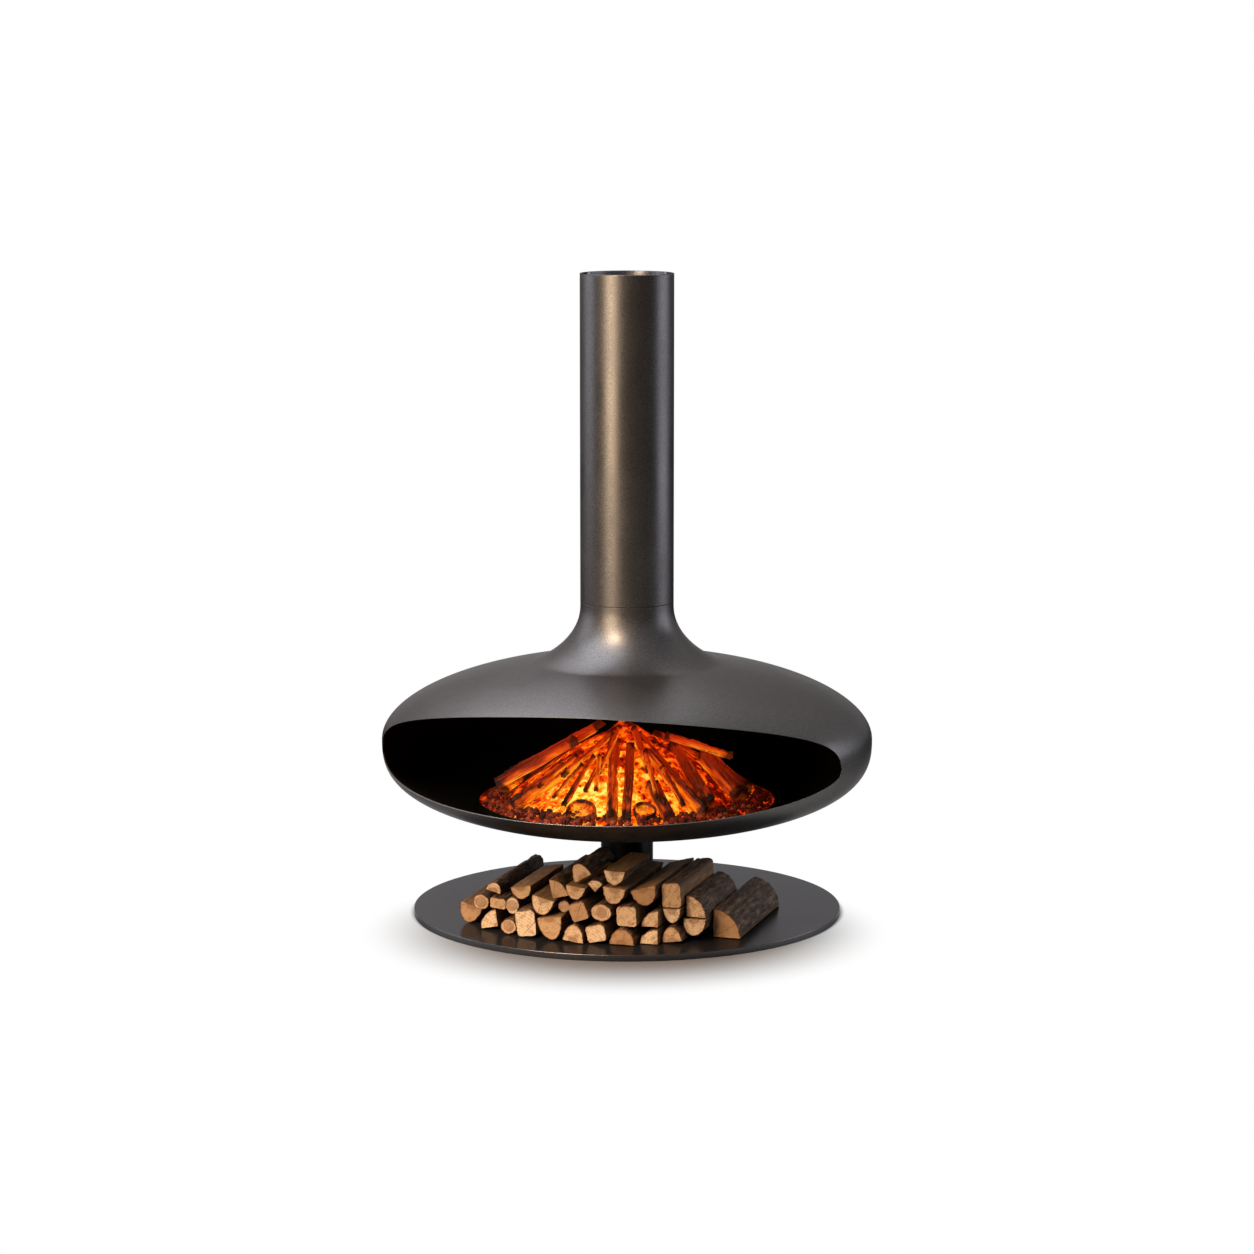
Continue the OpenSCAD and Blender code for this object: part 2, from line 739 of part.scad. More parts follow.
// Pierced rings that centre the liner in the duct and let the air between them rise
module flue_spacers() {
    inner_r = liner_r + fit;
    outer_r = flue_r - flue_wall - fit;
    color(steel_raw)
        for (z = [duct_z + spacer_inset, duct_top - spacer_inset - spacer_t])
            translate([0, 0, z])
                difference() {
                    tube(outer_r, inner_r, spacer_t);
                    around(spacer_holes, inner_r + outer_r)
                        translate([0, 0, -over])
                            cylinder(d = (outer_r - inner_r) * 0.65, h = spacer_t + 2 * over);
                }
}

// Turned ring inside the neck: holds the throat tube below and the rope seal above
module neck_collar() {
    color(steel_black)
        difference() {
            translate([0, 0, collar_z])
                tube(collar_outer_r, collar_bore_r, collar_h);
            translate([0, 0, collar_z - over])
                cylinder(r = throat_r + throat_wall + fit, h = throat_top - collar_z + over + fit);
            translate([0, 0, seal_z])
                cylinder(r = liner_r + seat + seal_side + fit, h = 3 * seal_side);
        }
}

module throat_tube() {
    throat_z = throat_top - throat_h;
    color(steel_black)
        translate([0, 0, throat_z])
            difference() {
                tube(throat_r + throat_wall, throat_r, throat_h);
                translate([-flue_d, 0, damper_z - throat_z])
                    rotate([0, 90, 0])
                        cylinder(r = damper_bush_r + fit, h = 2 * flue_d);
            }
}

module flue_seal() {
    color("#d8d3c6")
        translate([0, 0, seal_z])
            tube(liner_r + seat + seal_side, liner_r + seat, 1.6 * seal_side);
}

// ---------- Damper ----------
damper_z = neck_top - damper_drop;
damper_rod_r = damper_rod_d / 2;
damper_bush_r = damper_rod_r + 3;
bush_flange_t = 3;
bush_flange_r = damper_bush_r + 5;
bush_end = throat_r + throat_wall + seat + bush_flange_t + 4;
flap_r = throat_r - flap_gap;
flap_y = damper_rod_r * 0.25;
lever_x = bush_end + turn_gap;
lever_hub_r = damper_rod_r + 4;
lever_rest = 45;

module damper_bush() {
    inner_end = throat_r + seat;
    flange_x = throat_r + throat_wall + seat;
    rotate([0, 90, 0])
        difference() {
            union() {
                translate([0, 0, inner_end])
                    cylinder(r = damper_bush_r, h = bush_end - inner_end);
                translate([0, 0, flange_x])
                    cylinder(r = bush_flange_r, h = bush_flange_t);
            }
            cylinder(r = damper_rod_r + run, h = bush_end + over);
        }
}

module damper_bushes() {
    color("#b08d4a")
        translate([0, 0, damper_z])
            for (turn = [0, 180])
                rotate([0, 0, turn])
                    damper_bush();
}

damper_screw_d = 5;
damper_screw_x = 40;

// Round flap, upright when open, bolted to the flat of its spindle
module damper_flap() {
    color(steel_black)
        translate([0, flap_y, damper_z])
            rotate([-90, 0, 0])
                difference() {
                    cylinder(r = flap_r, h = flap_t);
                    for (x = [-damper_screw_x, damper_screw_x])
                        translate([x, 0, -over])
                            cylinder(d = damper_screw_d + 2 * fit, h = flap_t + 2 * over);
                }
}

module damper_spindle() {
    rod_start = -bush_end;
    rod_end = lever_x + lever_t + seat;
    flat_l = 2 * (throat_r - flap_gap) + 2 * seat;
    color(steel_raw)
        translate([0, 0, damper_z])
            difference() {
                translate([rod_start, 0, 0])
                    rotate([0, 90, 0])
                        cylinder(r = damper_rod_r, h = rod_end - rod_start);
                translate([-flat_l / 2, flap_y, -damper_rod_d])
                    cube([flat_l, damper_rod_d, 2 * damper_rod_d]);
                for (x = [-damper_screw_x, damper_screw_x])
                    translate([x, 0, 0])
                        rotate([-90, 0, 0])
                            cylinder(d = damper_screw_d + 2 * fit, h = damper_rod_d, center = true);
            }
}

module damper_screws() {
    head_h = 3;
    color(steel_raw)
        for (x = [-damper_screw_x, damper_screw_x])
            translate([x, flap_y + flap_t, damper_z])
                rotate([90, 0, 0]) {
                    cylinder(d = damper_screw_d, h = flap_t + damper_rod_r);
                    translate([0, 0, -head_h])
                        cylinder(d = 1.8 * damper_screw_d, h = head_h);
                }
}

// Flat lever clamped on the end of the spindle, hanging forwards when the damper is open
module damper_lever() {
    color(steel_black)
        translate([lever_x, 0, damper_z])
            rotate([-lever_rest, 0, 0])
                difference() {
                    union() {
                        rotate([0, 90, 0])
                            cylinder(r = lever_hub_r, h = lever_t);
                        translate([0, -lever_w / 2, -lever_l])
                            cube([lever_t, lever_w, lever_l]);
                    }
                    translate([-over, 0, 0])
                        rotate([0, 90, 0])
                            cylinder(r = damper_rod_r + fit, h = lever_t + 2 * over);
                }
}

module damper_knob() {
    color("#5a3a22")
        translate([lever_x, 0, damper_z])
            rotate([-lever_rest, 0, 0])
                translate([lever_t / 2, 0, -lever_l - knob_d * 0.45])
                    rotate_extrude()
                        polygon([[0, -knob_d * 0.45], [knob_d * 0.3, -knob_d * 0.4],
                            [knob_d * 0.5, -knob_d * 0.1], [knob_d * 0.46, knob_d * 0.2],
                            [knob_d * 0.28, knob_d * 0.45], [0, knob_d * 0.45]]);
}

// ---------- Firewood ----------
// Split logs: [place across, width, height, outline, set back, cut short, tilt]. Each is lowered
// straight down until it rests on the base plate or on the logs below it.
WOOD_BOTTOM = [
    [-237, 48, 38, 2, 4, 0, -14], [-186, 38, 36, 5, 3, 0, 10], [-139, 34, 32, 0, 2, 0, 0],
    [-51, 52, 46, 2, 5, 0, 8], [-2, 44, 36, 1, 0, 0, -6], [41, 40, 36, 6, 4, 0, 12],
    [90, 52, 33, 1, 0, 0, 0], [135, 38, 31, 5, 6, 0, 0], [176, 42, 32, 1, 2, 0, 8],
    [262, 56, 57, 4, 0, 0, 0], [-100, 42, 54, 6, 2, 0, 6], [210, 48, 36, 2, 8, 30, 0]];
WOOD_MIDDLE = [
    [-211, 35, 33, 0, 8, 20, 0], [-168, 34, 24, 6, 10, 0, -6], [-135, 30, 36, 0, 14, 0, 0],
    [-66, 48, 36, 2, 12, 20, -12], [-29, 26, 26, 0, 30, 40, 0], [7, 36, 38, 6, 6, 0, 20],
    [49, 44, 36, 0, 10, 0, 0], [96, 42, 42, 6, 8, 0, 0], [135, 36, 34, 5, 12, 0, 0],
    [172, 38, 30, 2, 16, 30, 2]];
WOOD_TOP = [
    [-183, 34, 22, 1, 18, 30, -14], [-118, 44, 27, 2, 20, 90, 8], [-38, 34, 40, 4, 24, 60, 14],
    [-1, 41, 28, 2, 16, 70, -8], [71, 48, 34, 2, 18, 40, -4], [34, 32, 26, 3, 22, 60, 0],
    [122, 54, 36, 2, 18, 30, 16], [213, 41, 44, 4, 10, 70, 0], [171, 40, 50, 6, 16, 60, 2],
    [7, 40, 34, 1, 28, 135, 30], [69, 44, 30, 2, 26, 120, -2]];
WOOD = concat(WOOD_BOTTOM, WOOD_MIDDLE, WOOD_TOP);
wood_seat = 0.3;

// An outline turned in its own plane, then centred and stood on zero again
function tilted(line, turn) = let (raw = [for (p = line)
        [p[0] * cos(turn) - p[1] * sin(turn), p[0] * sin(turn) + p[1] * cos(turn)]],
        middle = (min(across(raw)) + max(across(raw))) / 2, low = min([for (p = raw) p[1]]))
    [for (p = raw) [p[0] - middle, p[1] - low]];
function drop_on(line, below) =
    let (low = max(min(across(line)), min(across(below))), high = min(max(across(line)), max(across(below))))
    low >= high ? 0 : max([for (u = concat(across(line), across(below), [low, high]))
        if (u >= low && u <= high) max(crossings(below, u)) - min(crossings(line, u))]) + wood_seat;
function settled(line, pile) = let (z = max(concat([plate_top], [for (below = pile) drop_on(line, below)])))
    [for (p = line) [p[0], p[1] + z]];
function stacked(i, pile) = i == len(WOOD) ? pile : stacked(i + 1, concat(pile,
    [settled([for (p = tilted(outline(WOOD[i][3], WOOD[i][1], WOOD[i][2]), WOOD[i][6]))
        [p[0] + WOOD[i][0], p[1]]], pile)]));

module firewood_row(first, count) {
    pile = stacked(0, []);
    for (i = [first:first + count - 1]) {
        wood = WOOD[i];
        front = -sqrt(pow(pile_arc_r, 2) - pow(wood[0], 2)) + wood[4];
        column_zone = column_r + pile_room;
        meets_column = min(across(pile[i])) < column_zone && max(across(pile[i])) > -column_zone;
        length = min(log_l - wood[5], meets_column ? -front - column_zone : log_l);
        rotate([0, 0, -log_yaw])
            translate([0, front + length, 0])
                rotate([90, 0, 0])
                    linear_extrude(height = length)
                        polygon(pile[i]);
    }
}

module firewood_bottom_row() {
    color(wood_light)
        firewood_row(0, len(WOOD_BOTTOM));
}

module firewood_middle_row() {
    color(wood_light)
        firewood_row(len(WOOD_BOTTOM), len(WOOD_MIDDLE));
}

module firewood_top_row() {
    color(wood_light)
        firewood_row(len(WOOD_BOTTOM) + len(WOOD_MIDDLE), len(WOOD_TOP));
}

base_plate();
column_foot();
column_tube();
column_head();
foot_screws();
lower_race();
spindle_bush();
firewood_bottom_row();
firewood_middle_row();
firewood_top_row();
flue_duct();
flue_liner();
flue_spacers();
lower_shell();
upper_shell();
seam_band();
bowl_hub();
hub_screws();
upper_race();
spindle();
spindle_washer();
spindle_nut();
insulation_board();
hearth_plate();
ember_tray();
ember_bed();
lava_lumps();
fire_logs_front();
fire_logs_back();
fire_kindling();
wood_slices();
neck_collar();
throat_tube();
flue_seal();
damper_bushes();
bearing_cage();
bearing_balls();
damper_flap();
damper_spindle();
damper_lever();
damper_knob();
damper_screws();
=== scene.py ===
import json
import math

import bmesh
import bpy
import numpy as np
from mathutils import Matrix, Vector

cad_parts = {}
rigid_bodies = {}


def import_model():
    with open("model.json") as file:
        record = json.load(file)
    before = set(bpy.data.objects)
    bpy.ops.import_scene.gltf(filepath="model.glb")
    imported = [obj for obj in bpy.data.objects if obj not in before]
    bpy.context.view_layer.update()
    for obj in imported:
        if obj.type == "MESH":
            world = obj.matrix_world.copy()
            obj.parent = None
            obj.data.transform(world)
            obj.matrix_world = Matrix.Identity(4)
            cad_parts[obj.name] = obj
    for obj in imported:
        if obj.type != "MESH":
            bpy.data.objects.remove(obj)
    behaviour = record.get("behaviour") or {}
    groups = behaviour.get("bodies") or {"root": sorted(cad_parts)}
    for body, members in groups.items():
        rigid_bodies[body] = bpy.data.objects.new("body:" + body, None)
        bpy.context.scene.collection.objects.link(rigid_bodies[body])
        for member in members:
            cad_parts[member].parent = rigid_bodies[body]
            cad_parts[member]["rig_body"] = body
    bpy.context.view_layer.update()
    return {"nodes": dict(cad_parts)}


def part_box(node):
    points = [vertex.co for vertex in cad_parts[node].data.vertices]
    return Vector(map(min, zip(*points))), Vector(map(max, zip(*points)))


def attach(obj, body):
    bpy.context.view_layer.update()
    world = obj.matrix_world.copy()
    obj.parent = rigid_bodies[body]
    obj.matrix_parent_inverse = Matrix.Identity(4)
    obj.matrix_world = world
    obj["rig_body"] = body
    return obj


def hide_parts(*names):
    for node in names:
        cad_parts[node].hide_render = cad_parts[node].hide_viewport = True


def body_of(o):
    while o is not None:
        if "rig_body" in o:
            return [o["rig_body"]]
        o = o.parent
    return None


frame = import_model()
mm = 0.001

# ---------- Camera ----------
# Fitted to the photograph: a long lens 7 m away, a little above the mouth and turned 13 degrees to the
# right of it. No part of the object.
camera_turn = math.radians(13)
camera_pitch = math.radians(8.766)
camera_distance = 7.0214
camera_target = Vector((0, 0, 0.5593))
camera_back = Vector((math.sin(camera_turn) * math.cos(camera_pitch),
                      -math.cos(camera_turn) * math.cos(camera_pitch), math.sin(camera_pitch)))
camera_data = bpy.data.cameras.new("camera")
camera_data.lens = 104.5
camera_data.sensor_width = 36
camera = bpy.data.objects.new("camera", camera_data)
camera.location = camera_target + camera_distance * camera_back
camera.rotation_euler = (math.pi / 2 - camera_pitch, 0, camera_turn)
bpy.context.scene.collection.objects.link(camera)
bpy.context.scene.camera = camera
bpy.context.scene.view_settings.view_transform = "Standard"

# ---------- Hood ----------
# The upper half of the body: a spun dome of 4 mm steel that flares into the neck, with the upper half of
# the mouth cut out of its front. It is stoved in a dark metallic paint and welded to the bowl at the seam.


def linear(code):
    """sRGB hex colour to linear: c / 12.92 up to 0.04045, else ((c + 0.055) / 1.055) ^ 2.4."""
    part = np.array([int(code[i:i + 2], 16) for i in (1, 3, 5)]) / 255
    value = np.where(part <= 0.04045, part / 12.92, ((part + 0.055) / 1.055) ** 2.4)
    return (*value.tolist(), 1.0)


def feed(tree, node, **sockets):
    """Sets sockets of a node, each by its name (_ for a space) or number (n6). An output is linked, a node by
    its first output in use, and a hex colour is made linear."""
    for name, value in sockets.items():
        socket = node.inputs[int(name[1:]) if name[1:].isdigit() else name.replace("_", " ")]
        if isinstance(value, bpy.types.Node):
            value = next(output for output in value.outputs if output.enabled)
        if isinstance(value, bpy.types.NodeSocket):
            tree.links.new(value, socket)
        else:
            socket.default_value = linear(value) if isinstance(value, str) else value


def add(tree, kind, *inputs, ramp=(), **settings):
    """Adds a node. Inputs fill its sockets from the first on; a setting in small letters is one of its
    properties, any other one a socket, as in feed. ramp lists (place, colour) stops."""
    made = tree.nodes.new("ShaderNode" + kind)
    settings.update({f"n{i}": value for i, value in enumerate(inputs)})
    for name, value in settings.items():
        if name[0].islower() and not name[1:].isdigit():
            setattr(made, name, value)
        else:
            feed(tree, made, **{name: value})
    for i, (place, code) in enumerate(ramp):
        stop = made.color_ramp.elements[i] if i < 2 else made.color_ramp.elements.new(place)
        stop.position = place
        stop.color = linear(code)
    return made


def finish_of(name, **sockets):
    """A new material, its node tree and its surface shader, with the shader's own sockets set."""
    made = bpy.data.materials.new(name)
    made.use_nodes = True
    shader = made.node_tree.nodes["Principled BSDF"]
    feed(made.node_tree, shader, **sockets)
    return made, made.node_tree, shader


def stain(tree, under, over, value, *levels):
    """One colour mixed with another by a value; levels are two values and the shares of the second there."""
    share = add(tree, "MapRange", value, *levels)
    return add(tree, "Mix", share, data_type="RGBA", n6=under, n7=over)


def power_curve(angle, radius, height, square_r, square_z):
    """Quarter of a squared oval:
    r = radius sin(angle)^(2 / square_r), z = height cos(angle)^(2 / square_z)."""
    cosine = np.clip(np.cos(angle), 0, 1)
    return np.stack([radius * np.sin(angle) ** (2 / square_r), height * cosine ** (2 / square_z)], -1)


def bezier(ends, share):
    """Cubic curve through the first and last of four points, pulled by the two between them."""
    t = share[:, None]
    return ((1 - t) ** 3 * ends[0] + 3 * t * (1 - t) ** 2 * ends[1]
            + 3 * t * t * (1 - t) * ends[2] + t ** 3 * ends[3])


def ways(line):
    """Length of a line up to each of its points."""
    return np.append(0, np.cumsum(np.linalg.norm(np.diff(line, axis=0), axis=1)))


def along(line, share):
    """Points of a line at shares of its length from 0 to 1."""
    way = ways(line)
    return np.stack([np.interp(share * way[-1], way, line[:, k]) for k in (0, 1)], -1)


def grid_faces(rows, cols):
    """Corners of the cells of a grid that closes around its columns, points numbered row by row."""
    r, c = np.meshgrid(np.arange(rows - 1), np.arange(cols), indexing="ij")
    here, beside = r * cols + c, r * cols + (c + 1) % cols
    return np.stack([here, beside, beside + cols, here + cols], -1).reshape(-1, 4)


def about(r, turn, z):
    """Points about the axis, 0 at the mouth's middle: x = r sin(turn), y = -r cos(turn)."""
    return np.stack(np.broadcast_arrays(r * np.sin(turn), -r * np.cos(turn), z), -1)


def lay_piece(name, points, faces, materials, sharp=None, vectors=None, even=False):
    """A mesh object from arrays of points and faces, with points that coincide joined. Edges over the sharp
    angle stay crisp; vectors are attributes with three numbers a point; even weighs the shading by the
    faces' size, so that flats beside an eased edge stay flat."""
    mesh = bpy.data.meshes.new(name)
    mesh.from_pydata(points.reshape(-1, 3).tolist(), [], faces.tolist())
    for label, values in (vectors or {}).items():
        layer = mesh.attributes.new(label, "FLOAT_VECTOR", "POINT")
        layer.data.foreach_set("vector", np.ascontiguousarray(values, np.float32).ravel())
    cells = bmesh.new()
    cells.from_mesh(mesh)
    bmesh.ops.remove_doubles(cells, verts=cells.verts, dist=1e-6)
    cells.to_mesh(mesh)
    cells.free()
    mesh.polygons.foreach_set("use_smooth", np.ones(len(mesh.polygons), bool))
    if sharp:
        mesh.set_sharp_from_angle(angle=math.radians(sharp))
    for material in materials:
        mesh.materials.append(material)
    piece = bpy.data.objects.new(name, mesh)
    bpy.context.scene.collection.objects.link(piece)
    if even:
        weighted = piece.modifiers.new("normals", "WEIGHTED_NORMAL")
        weighted.keep_sharp = True
    return piece


hood_body = body_of(frame["nodes"]["upper_shell"])[0]
seam_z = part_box("upper_shell")[0].z
neck_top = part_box("upper_shell")[1].z
neck_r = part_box("flue_duct")[1].x
pad_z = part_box("lower_shell")[0].z
body_r = 474 * mm
wall = 4 * mm
equator_z = seam_z + 15.5 * mm
bowl_depth = 174.3 * mm
bowl_square = (2.06, 2.78)
dome_h = 160.3 * mm
dome_square = (1.99, 1.95)
flare_r = 185 * mm
flare_pulls = (16.5 * mm, 67 * mm)
neck_straight = 8 * mm
pad_r = 110 * mm

mouth_r = body_r - 26.4 * mm
mouth_z = equator_z - 18.4 * mm
mouth_rise = 117.4 * mm
mouth_drop = 69 * mm
mouth_body_r = body_r - 0.28 * mm
corner_turn = math.asin(mouth_r / mouth_body_r)
cut_ease = 1.4 * mm
seam_ease = 0.25 * mm


def bowl_curve(angle):
    """The bowl's outline: a squared oval below the widest line."""
    return power_curve(angle, body_r, -bowl_depth, *bowl_square) + (0, equator_z)


def dome_curve(angle):
    """The dome's outline: a squared oval above the widest line."""
    return power_curve(angle, body_r, dome_h, *dome_square) + (0, equator_z)


seam_a = math.acos(((equator_z - seam_z) / bowl_depth) ** (bowl_square[1] / 2))
pad_a = math.asin((pad_r / body_r) ** (bowl_square[0] / 2))
flare_a = math.asin((flare_r / body_r) ** (dome_square[0] / 2))
small_turn = 0.01
flare_start = dome_curve(np.array([flare_a, flare_a - small_turn]))
flare_way = (flare_start[1] - flare_start[0]) / np.linalg.norm(flare_start[1] - flare_start[0])
flare_end = np.array([neck_r, neck_top - neck_straight])
flare = np.array([flare_start[0], flare_start[0] + flare_pulls[0] * flare_way,
                  flare_end - (0, flare_pulls[1]), flare_end])
hood_line = np.concatenate([
    bowl_curve(np.linspace(seam_a, math.pi / 2, 60))[:-1],
    dome_curve(np.linspace(math.pi / 2, flare_a, 900)),
    bezier(flare, np.linspace(0, 1, 200))[1:],
    [[neck_r, neck_top]]])


def mouth_top(x):
    """Height of the mouth's upper edge: mouth_z + rise (1 - |x / half width|^1.77)^(1 / 2.77)."""
    return mouth_z + mouth_rise * np.clip(1 - np.abs(x / mouth_r) ** 1.77, 0, 1) ** (1 / 2.77)


def mouth_bottom(x):
    """Height of the mouth's lower edge: mouth_z - drop (1 - |x / half width|^2.15)^(1 / 2.5)."""
    return mouth_z - mouth_drop * np.clip(1 - np.abs(x / mouth_r) ** 2.15, 0, 1) ** (1 / 2.5)


def inward(line):
    """A line moved inwards by the wall, square to itself; its ends keep their height."""
    way = np.gradient(line, axis=0)
    way /= np.linalg.norm(way, axis=1)[:, None]
    way *= np.where(line[-1, 1] > line[0, 1], 1, -1)
    moved = line + wall * np.stack([-way[:, 1], way[:, 0]], -1)
    for end in (0, -1):
        moved[end] = line[end] - (wall / max(0.2, way[end, 1]), 0)
    return moved


def sheet_turns(front, back):
    """Turns of the columns of a body sheet about the axis, 0 at the mouth's middle, closer at its corners."""
    near = corner_turn * (1 - (1 - np.linspace(0, 1, front + 1)) ** 2.6)
    half = np.append(near, corner_turn + np.radians([0.3, 0.6, 0.9, 1.2, 1.6]))
    far = np.linspace(half[-1], 2 * math.pi - half[-1], back + 1)
    return np.concatenate([-half[:0:-1], half, far[1:-1]])


turns = sheet_turns(front=72, back=128)


def mouth_start(line, beyond):
    """Share of each column at which it leaves the mouth, by halving; 0 where the mouth doesn't reach."""
    low, high = np.zeros(len(turns)), np.ones(len(turns))
    for _ in range(40):
        middle = (low + high) / 2
        point = along(line, middle)
        inside = ~beyond(point[:, 0] * np.sin(turns), point[:, 1])
        low, high = np.where(inside, middle, low), np.where(inside, high, middle)
    return np.where((np.abs(turns) < math.pi / 2) & (high > 1e-6), high, 0)


def spun(line, share):
    """Points of a line at shares (rows by columns), each column turned about the axis to its place."""
    profile = along(line, share.ravel()).reshape(*share.shape, 2)
    return about(profile[..., 0], turns, profile[..., 1])


def wall_sheet(name, outer, beyond, rows, materials, inner=None):
    """A closed wall: outside rows, cut, inside rows, cut, with eased edges. The mouth is cut along Y; beyond
    tells which places (x, z) the sheet reaches. Materials are for the outside, the inside and the cuts."""
    sides, corners = [], []
    for line in (outer, inward(outer) if inner is None else inner):
        start = mouth_start(line, beyond)
        ease = np.where(start > 0, cut_ease, seam_ease) / ways(line)[-1]
        first, last = start + ease, 1 - ease.min()
        sides.append(spun(line, first + (last - first) * np.linspace(0, 1, rows)[:, None]))
        corners.append(spun(line, np.stack([start, np.ones(len(turns))])))
    made = []
    for here, there, row in ((0, 1, 0), (0, 1, -1), (1, 0, -1), (1, 0, 0)):
        corner, side = corners[here][row], sides[here][row]
        across = corners[there][row] - corner
        width = np.linalg.norm(side - corner, axis=1)[:, None]
        on_cut = corner + across * width / np.linalg.norm(across, axis=1)[:, None]
        made.append([side, (side + 2 * corner + on_cut) / 4, on_cut])
    ring = [made[0][1], *sides[0], *made[1][1:], *made[2][:0:-1],
            *sides[1][::-1], *made[3][1:], made[0][2]]
    outside, inside, cut = 0, 1, 2
    slots = [outside] * (rows + 1) + [cut] * 3 + [inside] * (rows + 1) + [cut] * 3
    points = np.array(ring + ring[:1])
    faces = grid_faces(len(points), len(turns))
    if outer[-1, 1] < outer[0, 1]:
        faces = faces[:, ::-1]
    piece = lay_piece(name, points, faces, materials, even=True)
    piece.data.polygons.foreach_set("material_index", np.repeat(slots, len(turns)))
    return piece


# Stoved metallic paint, sprayed and baked on steel: satin, with a fine mineral grain in the gloss. The
# real grain is 0.3 mm; it is drawn at 1.8 mm, so that it shows.
def metallic_paint(name, dark, light, rough):
    """Metal-like paint: two greys mixed by the grain, and a cloudy gloss 120 mm across."""
    paint, tree, shader = finish_of(name, Metallic=0.9, Specular_Tint="#9a9898")
    place = add(tree, "TexCoord").outputs["Object"]
    grain = add(tree, "TexNoise", place, Scale=1 / (1.8 * mm), Detail=2.0)
    cloud = add(tree, "TexNoise", place, Scale=1 / (120 * mm), Detail=3.0)
    colour = stain(tree, dark, light, grain, 0.35, 0.72, 0.0, 1.0)
    gloss = add(tree, "MapRange", cloud, 0.3, 0.7, rough - 0.04, rough + 0.05)
    bump = add(tree, "Bump", Height=grain, Strength=0.2, Distance=0.2 * mm)
    feed(tree, shader, Base_Color=colour, Roughness=gloss, Normal=bump)
    return paint


# Heat-proof soot black, brushed on: almost no light comes back.
def matt_black(name, colour, rough, gloss=0.15):
    """Black with a fine tooth 1.5 mm across; gloss is the share of the usual mirroring that it keeps."""
    paint, tree, shader = finish_of(name, Base_Color=colour, Specular_IOR_Level=gloss)
    place = add(tree, "TexCoord").outputs["Object"]
    tooth = add(tree, "TexNoise", place, Scale=1 / (1.5 * mm), Detail=3.0)
    satin = add(tree, "MapRange", tooth, 0.3, 0.7, rough - 0.08, rough + 0.08)
    bump = add(tree, "Bump", Height=tooth, Strength=0.2, Distance=0.2 * mm)
    feed(tree, shader, Roughness=satin, Normal=bump)
    return paint


hood_paint = metallic_paint("stoved_metallic_paint", "#51504f", "#6f6e6d", 0.36)
# The same paint on the cut edge of the mouth, mixed much lighter: a painted highlight, a thin bright line
# round the opening where the eased edge catches the light.
cut_edge_highlight_paint = metallic_paint("stoved_paint_painted_highlight_on_cut_edge", "#99928d", "#b0a9a4", 0.34)
inside_black = matt_black("soot_black_paint", "#0a0a0a", 0.8)

body_finishes = [hood_paint, inside_black, cut_edge_highlight_paint]
hood = wall_sheet("hood_sheet", hood_line, lambda x, z: (z >= mouth_top(x)) | (np.abs(x) >= mouth_r),
                  rows=66, materials=body_finishes)
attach(hood, hood_body)
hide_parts("upper_shell")

# ---------- Bowl ----------
# The lower half of the body: a spun bowl of the same 4 mm sheet with a flat pad under it, where the hub is
# bolted on. Painted with the hood after the seam is welded.
hub_hole_r = 37.5 * mm
pad_ease = 1 * mm
bowl_curved = bowl_curve(np.linspace(seam_a, pad_a, 900))
bowl_line = np.concatenate([bowl_curved, [[pad_r - pad_ease, pad_z], [hub_hole_r, pad_z]]])
bowl_floor = [[pad_r, pad_z + wall], [hub_hole_r, pad_z + wall]]
bowl_inside = np.concatenate([inward(bowl_curved)[:-1], bowl_floor])
bowl = wall_sheet("bowl_sheet", bowl_line, lambda x, z: (z <= mouth_bottom(x)) | (np.abs(x) >= mouth_r),
                  rows=60, materials=body_finishes, inner=bowl_inside)
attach(bowl, hood_body)
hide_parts("lower_shell")

# ---------- Flue duct ----------
# A rolled and welded duct of 2 mm steel in the hood's paint. It hangs from the ceiling and stands clear of
# the neck, which turns under it.


def eased(corners, radius, steps=4):
    """Closed outline with each corner turned into a short curve that starts radius before it, or at most 45
    percent of the way to the next one; corners on the axis stay."""
    corners = np.array(corners, float)
    t = np.linspace(0, 1, steps + 1)[:, None]
    made = []
    for before, corner, after in zip(np.roll(corners, 1, 0), corners, np.roll(corners, -1, 0)):
        if corner[0] == 0:
            made.append(corner[None])
            continue
        a = corner + (before - corner) * min(0.45, radius / np.linalg.norm(before - corner))
        b = corner + (after - corner) * min(0.45, radius / np.linalg.norm(after - corner))
        made.append((1 - t) ** 2 * a + 2 * t * (1 - t) * corner + t * t * b)
    return np.concatenate(made)


def turned(name, corners, ease, materials, around=160):
    """A turned piece: the outline, counter-clockwise with r to the right, spun about the axis."""
    profile = eased(corners, ease)
    if corners[0][0] > 0:
        profile = np.append(profile, profile[:1], 0)
    turn = np.arange(around) * 2 * math.pi / around
    points = about(profile[:, :1], turn, profile[:, 1:])
    return lay_piece(name, points, grid_faces(len(profile), around), materials, even=True)


def pipe(name, node, wall_t, ease, materials):
    """A turned tube with the outer radius and the ends of a node of the frame."""
    low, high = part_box(node)
    r, bore = high.x, high.x - wall_t
    piece = turned(name, [(bore, low.z), (r, low.z), (r, high.z), (bore, high.z)], ease, materials)
    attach(piece, body_of(frame["nodes"][node])[0])
    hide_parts(node)
    return piece


flue_wall = 2 * mm
flue_ease = 0.5 * mm
flue = pipe("flue_sheet", "flue_duct", flue_wall, flue_ease, [hood_paint])

# ---------- Base plate ----------
# A 12 mm steel disc with broken edges, painted satin dark grey, which stands on the floor, steadies the
# column and carries the firewood.

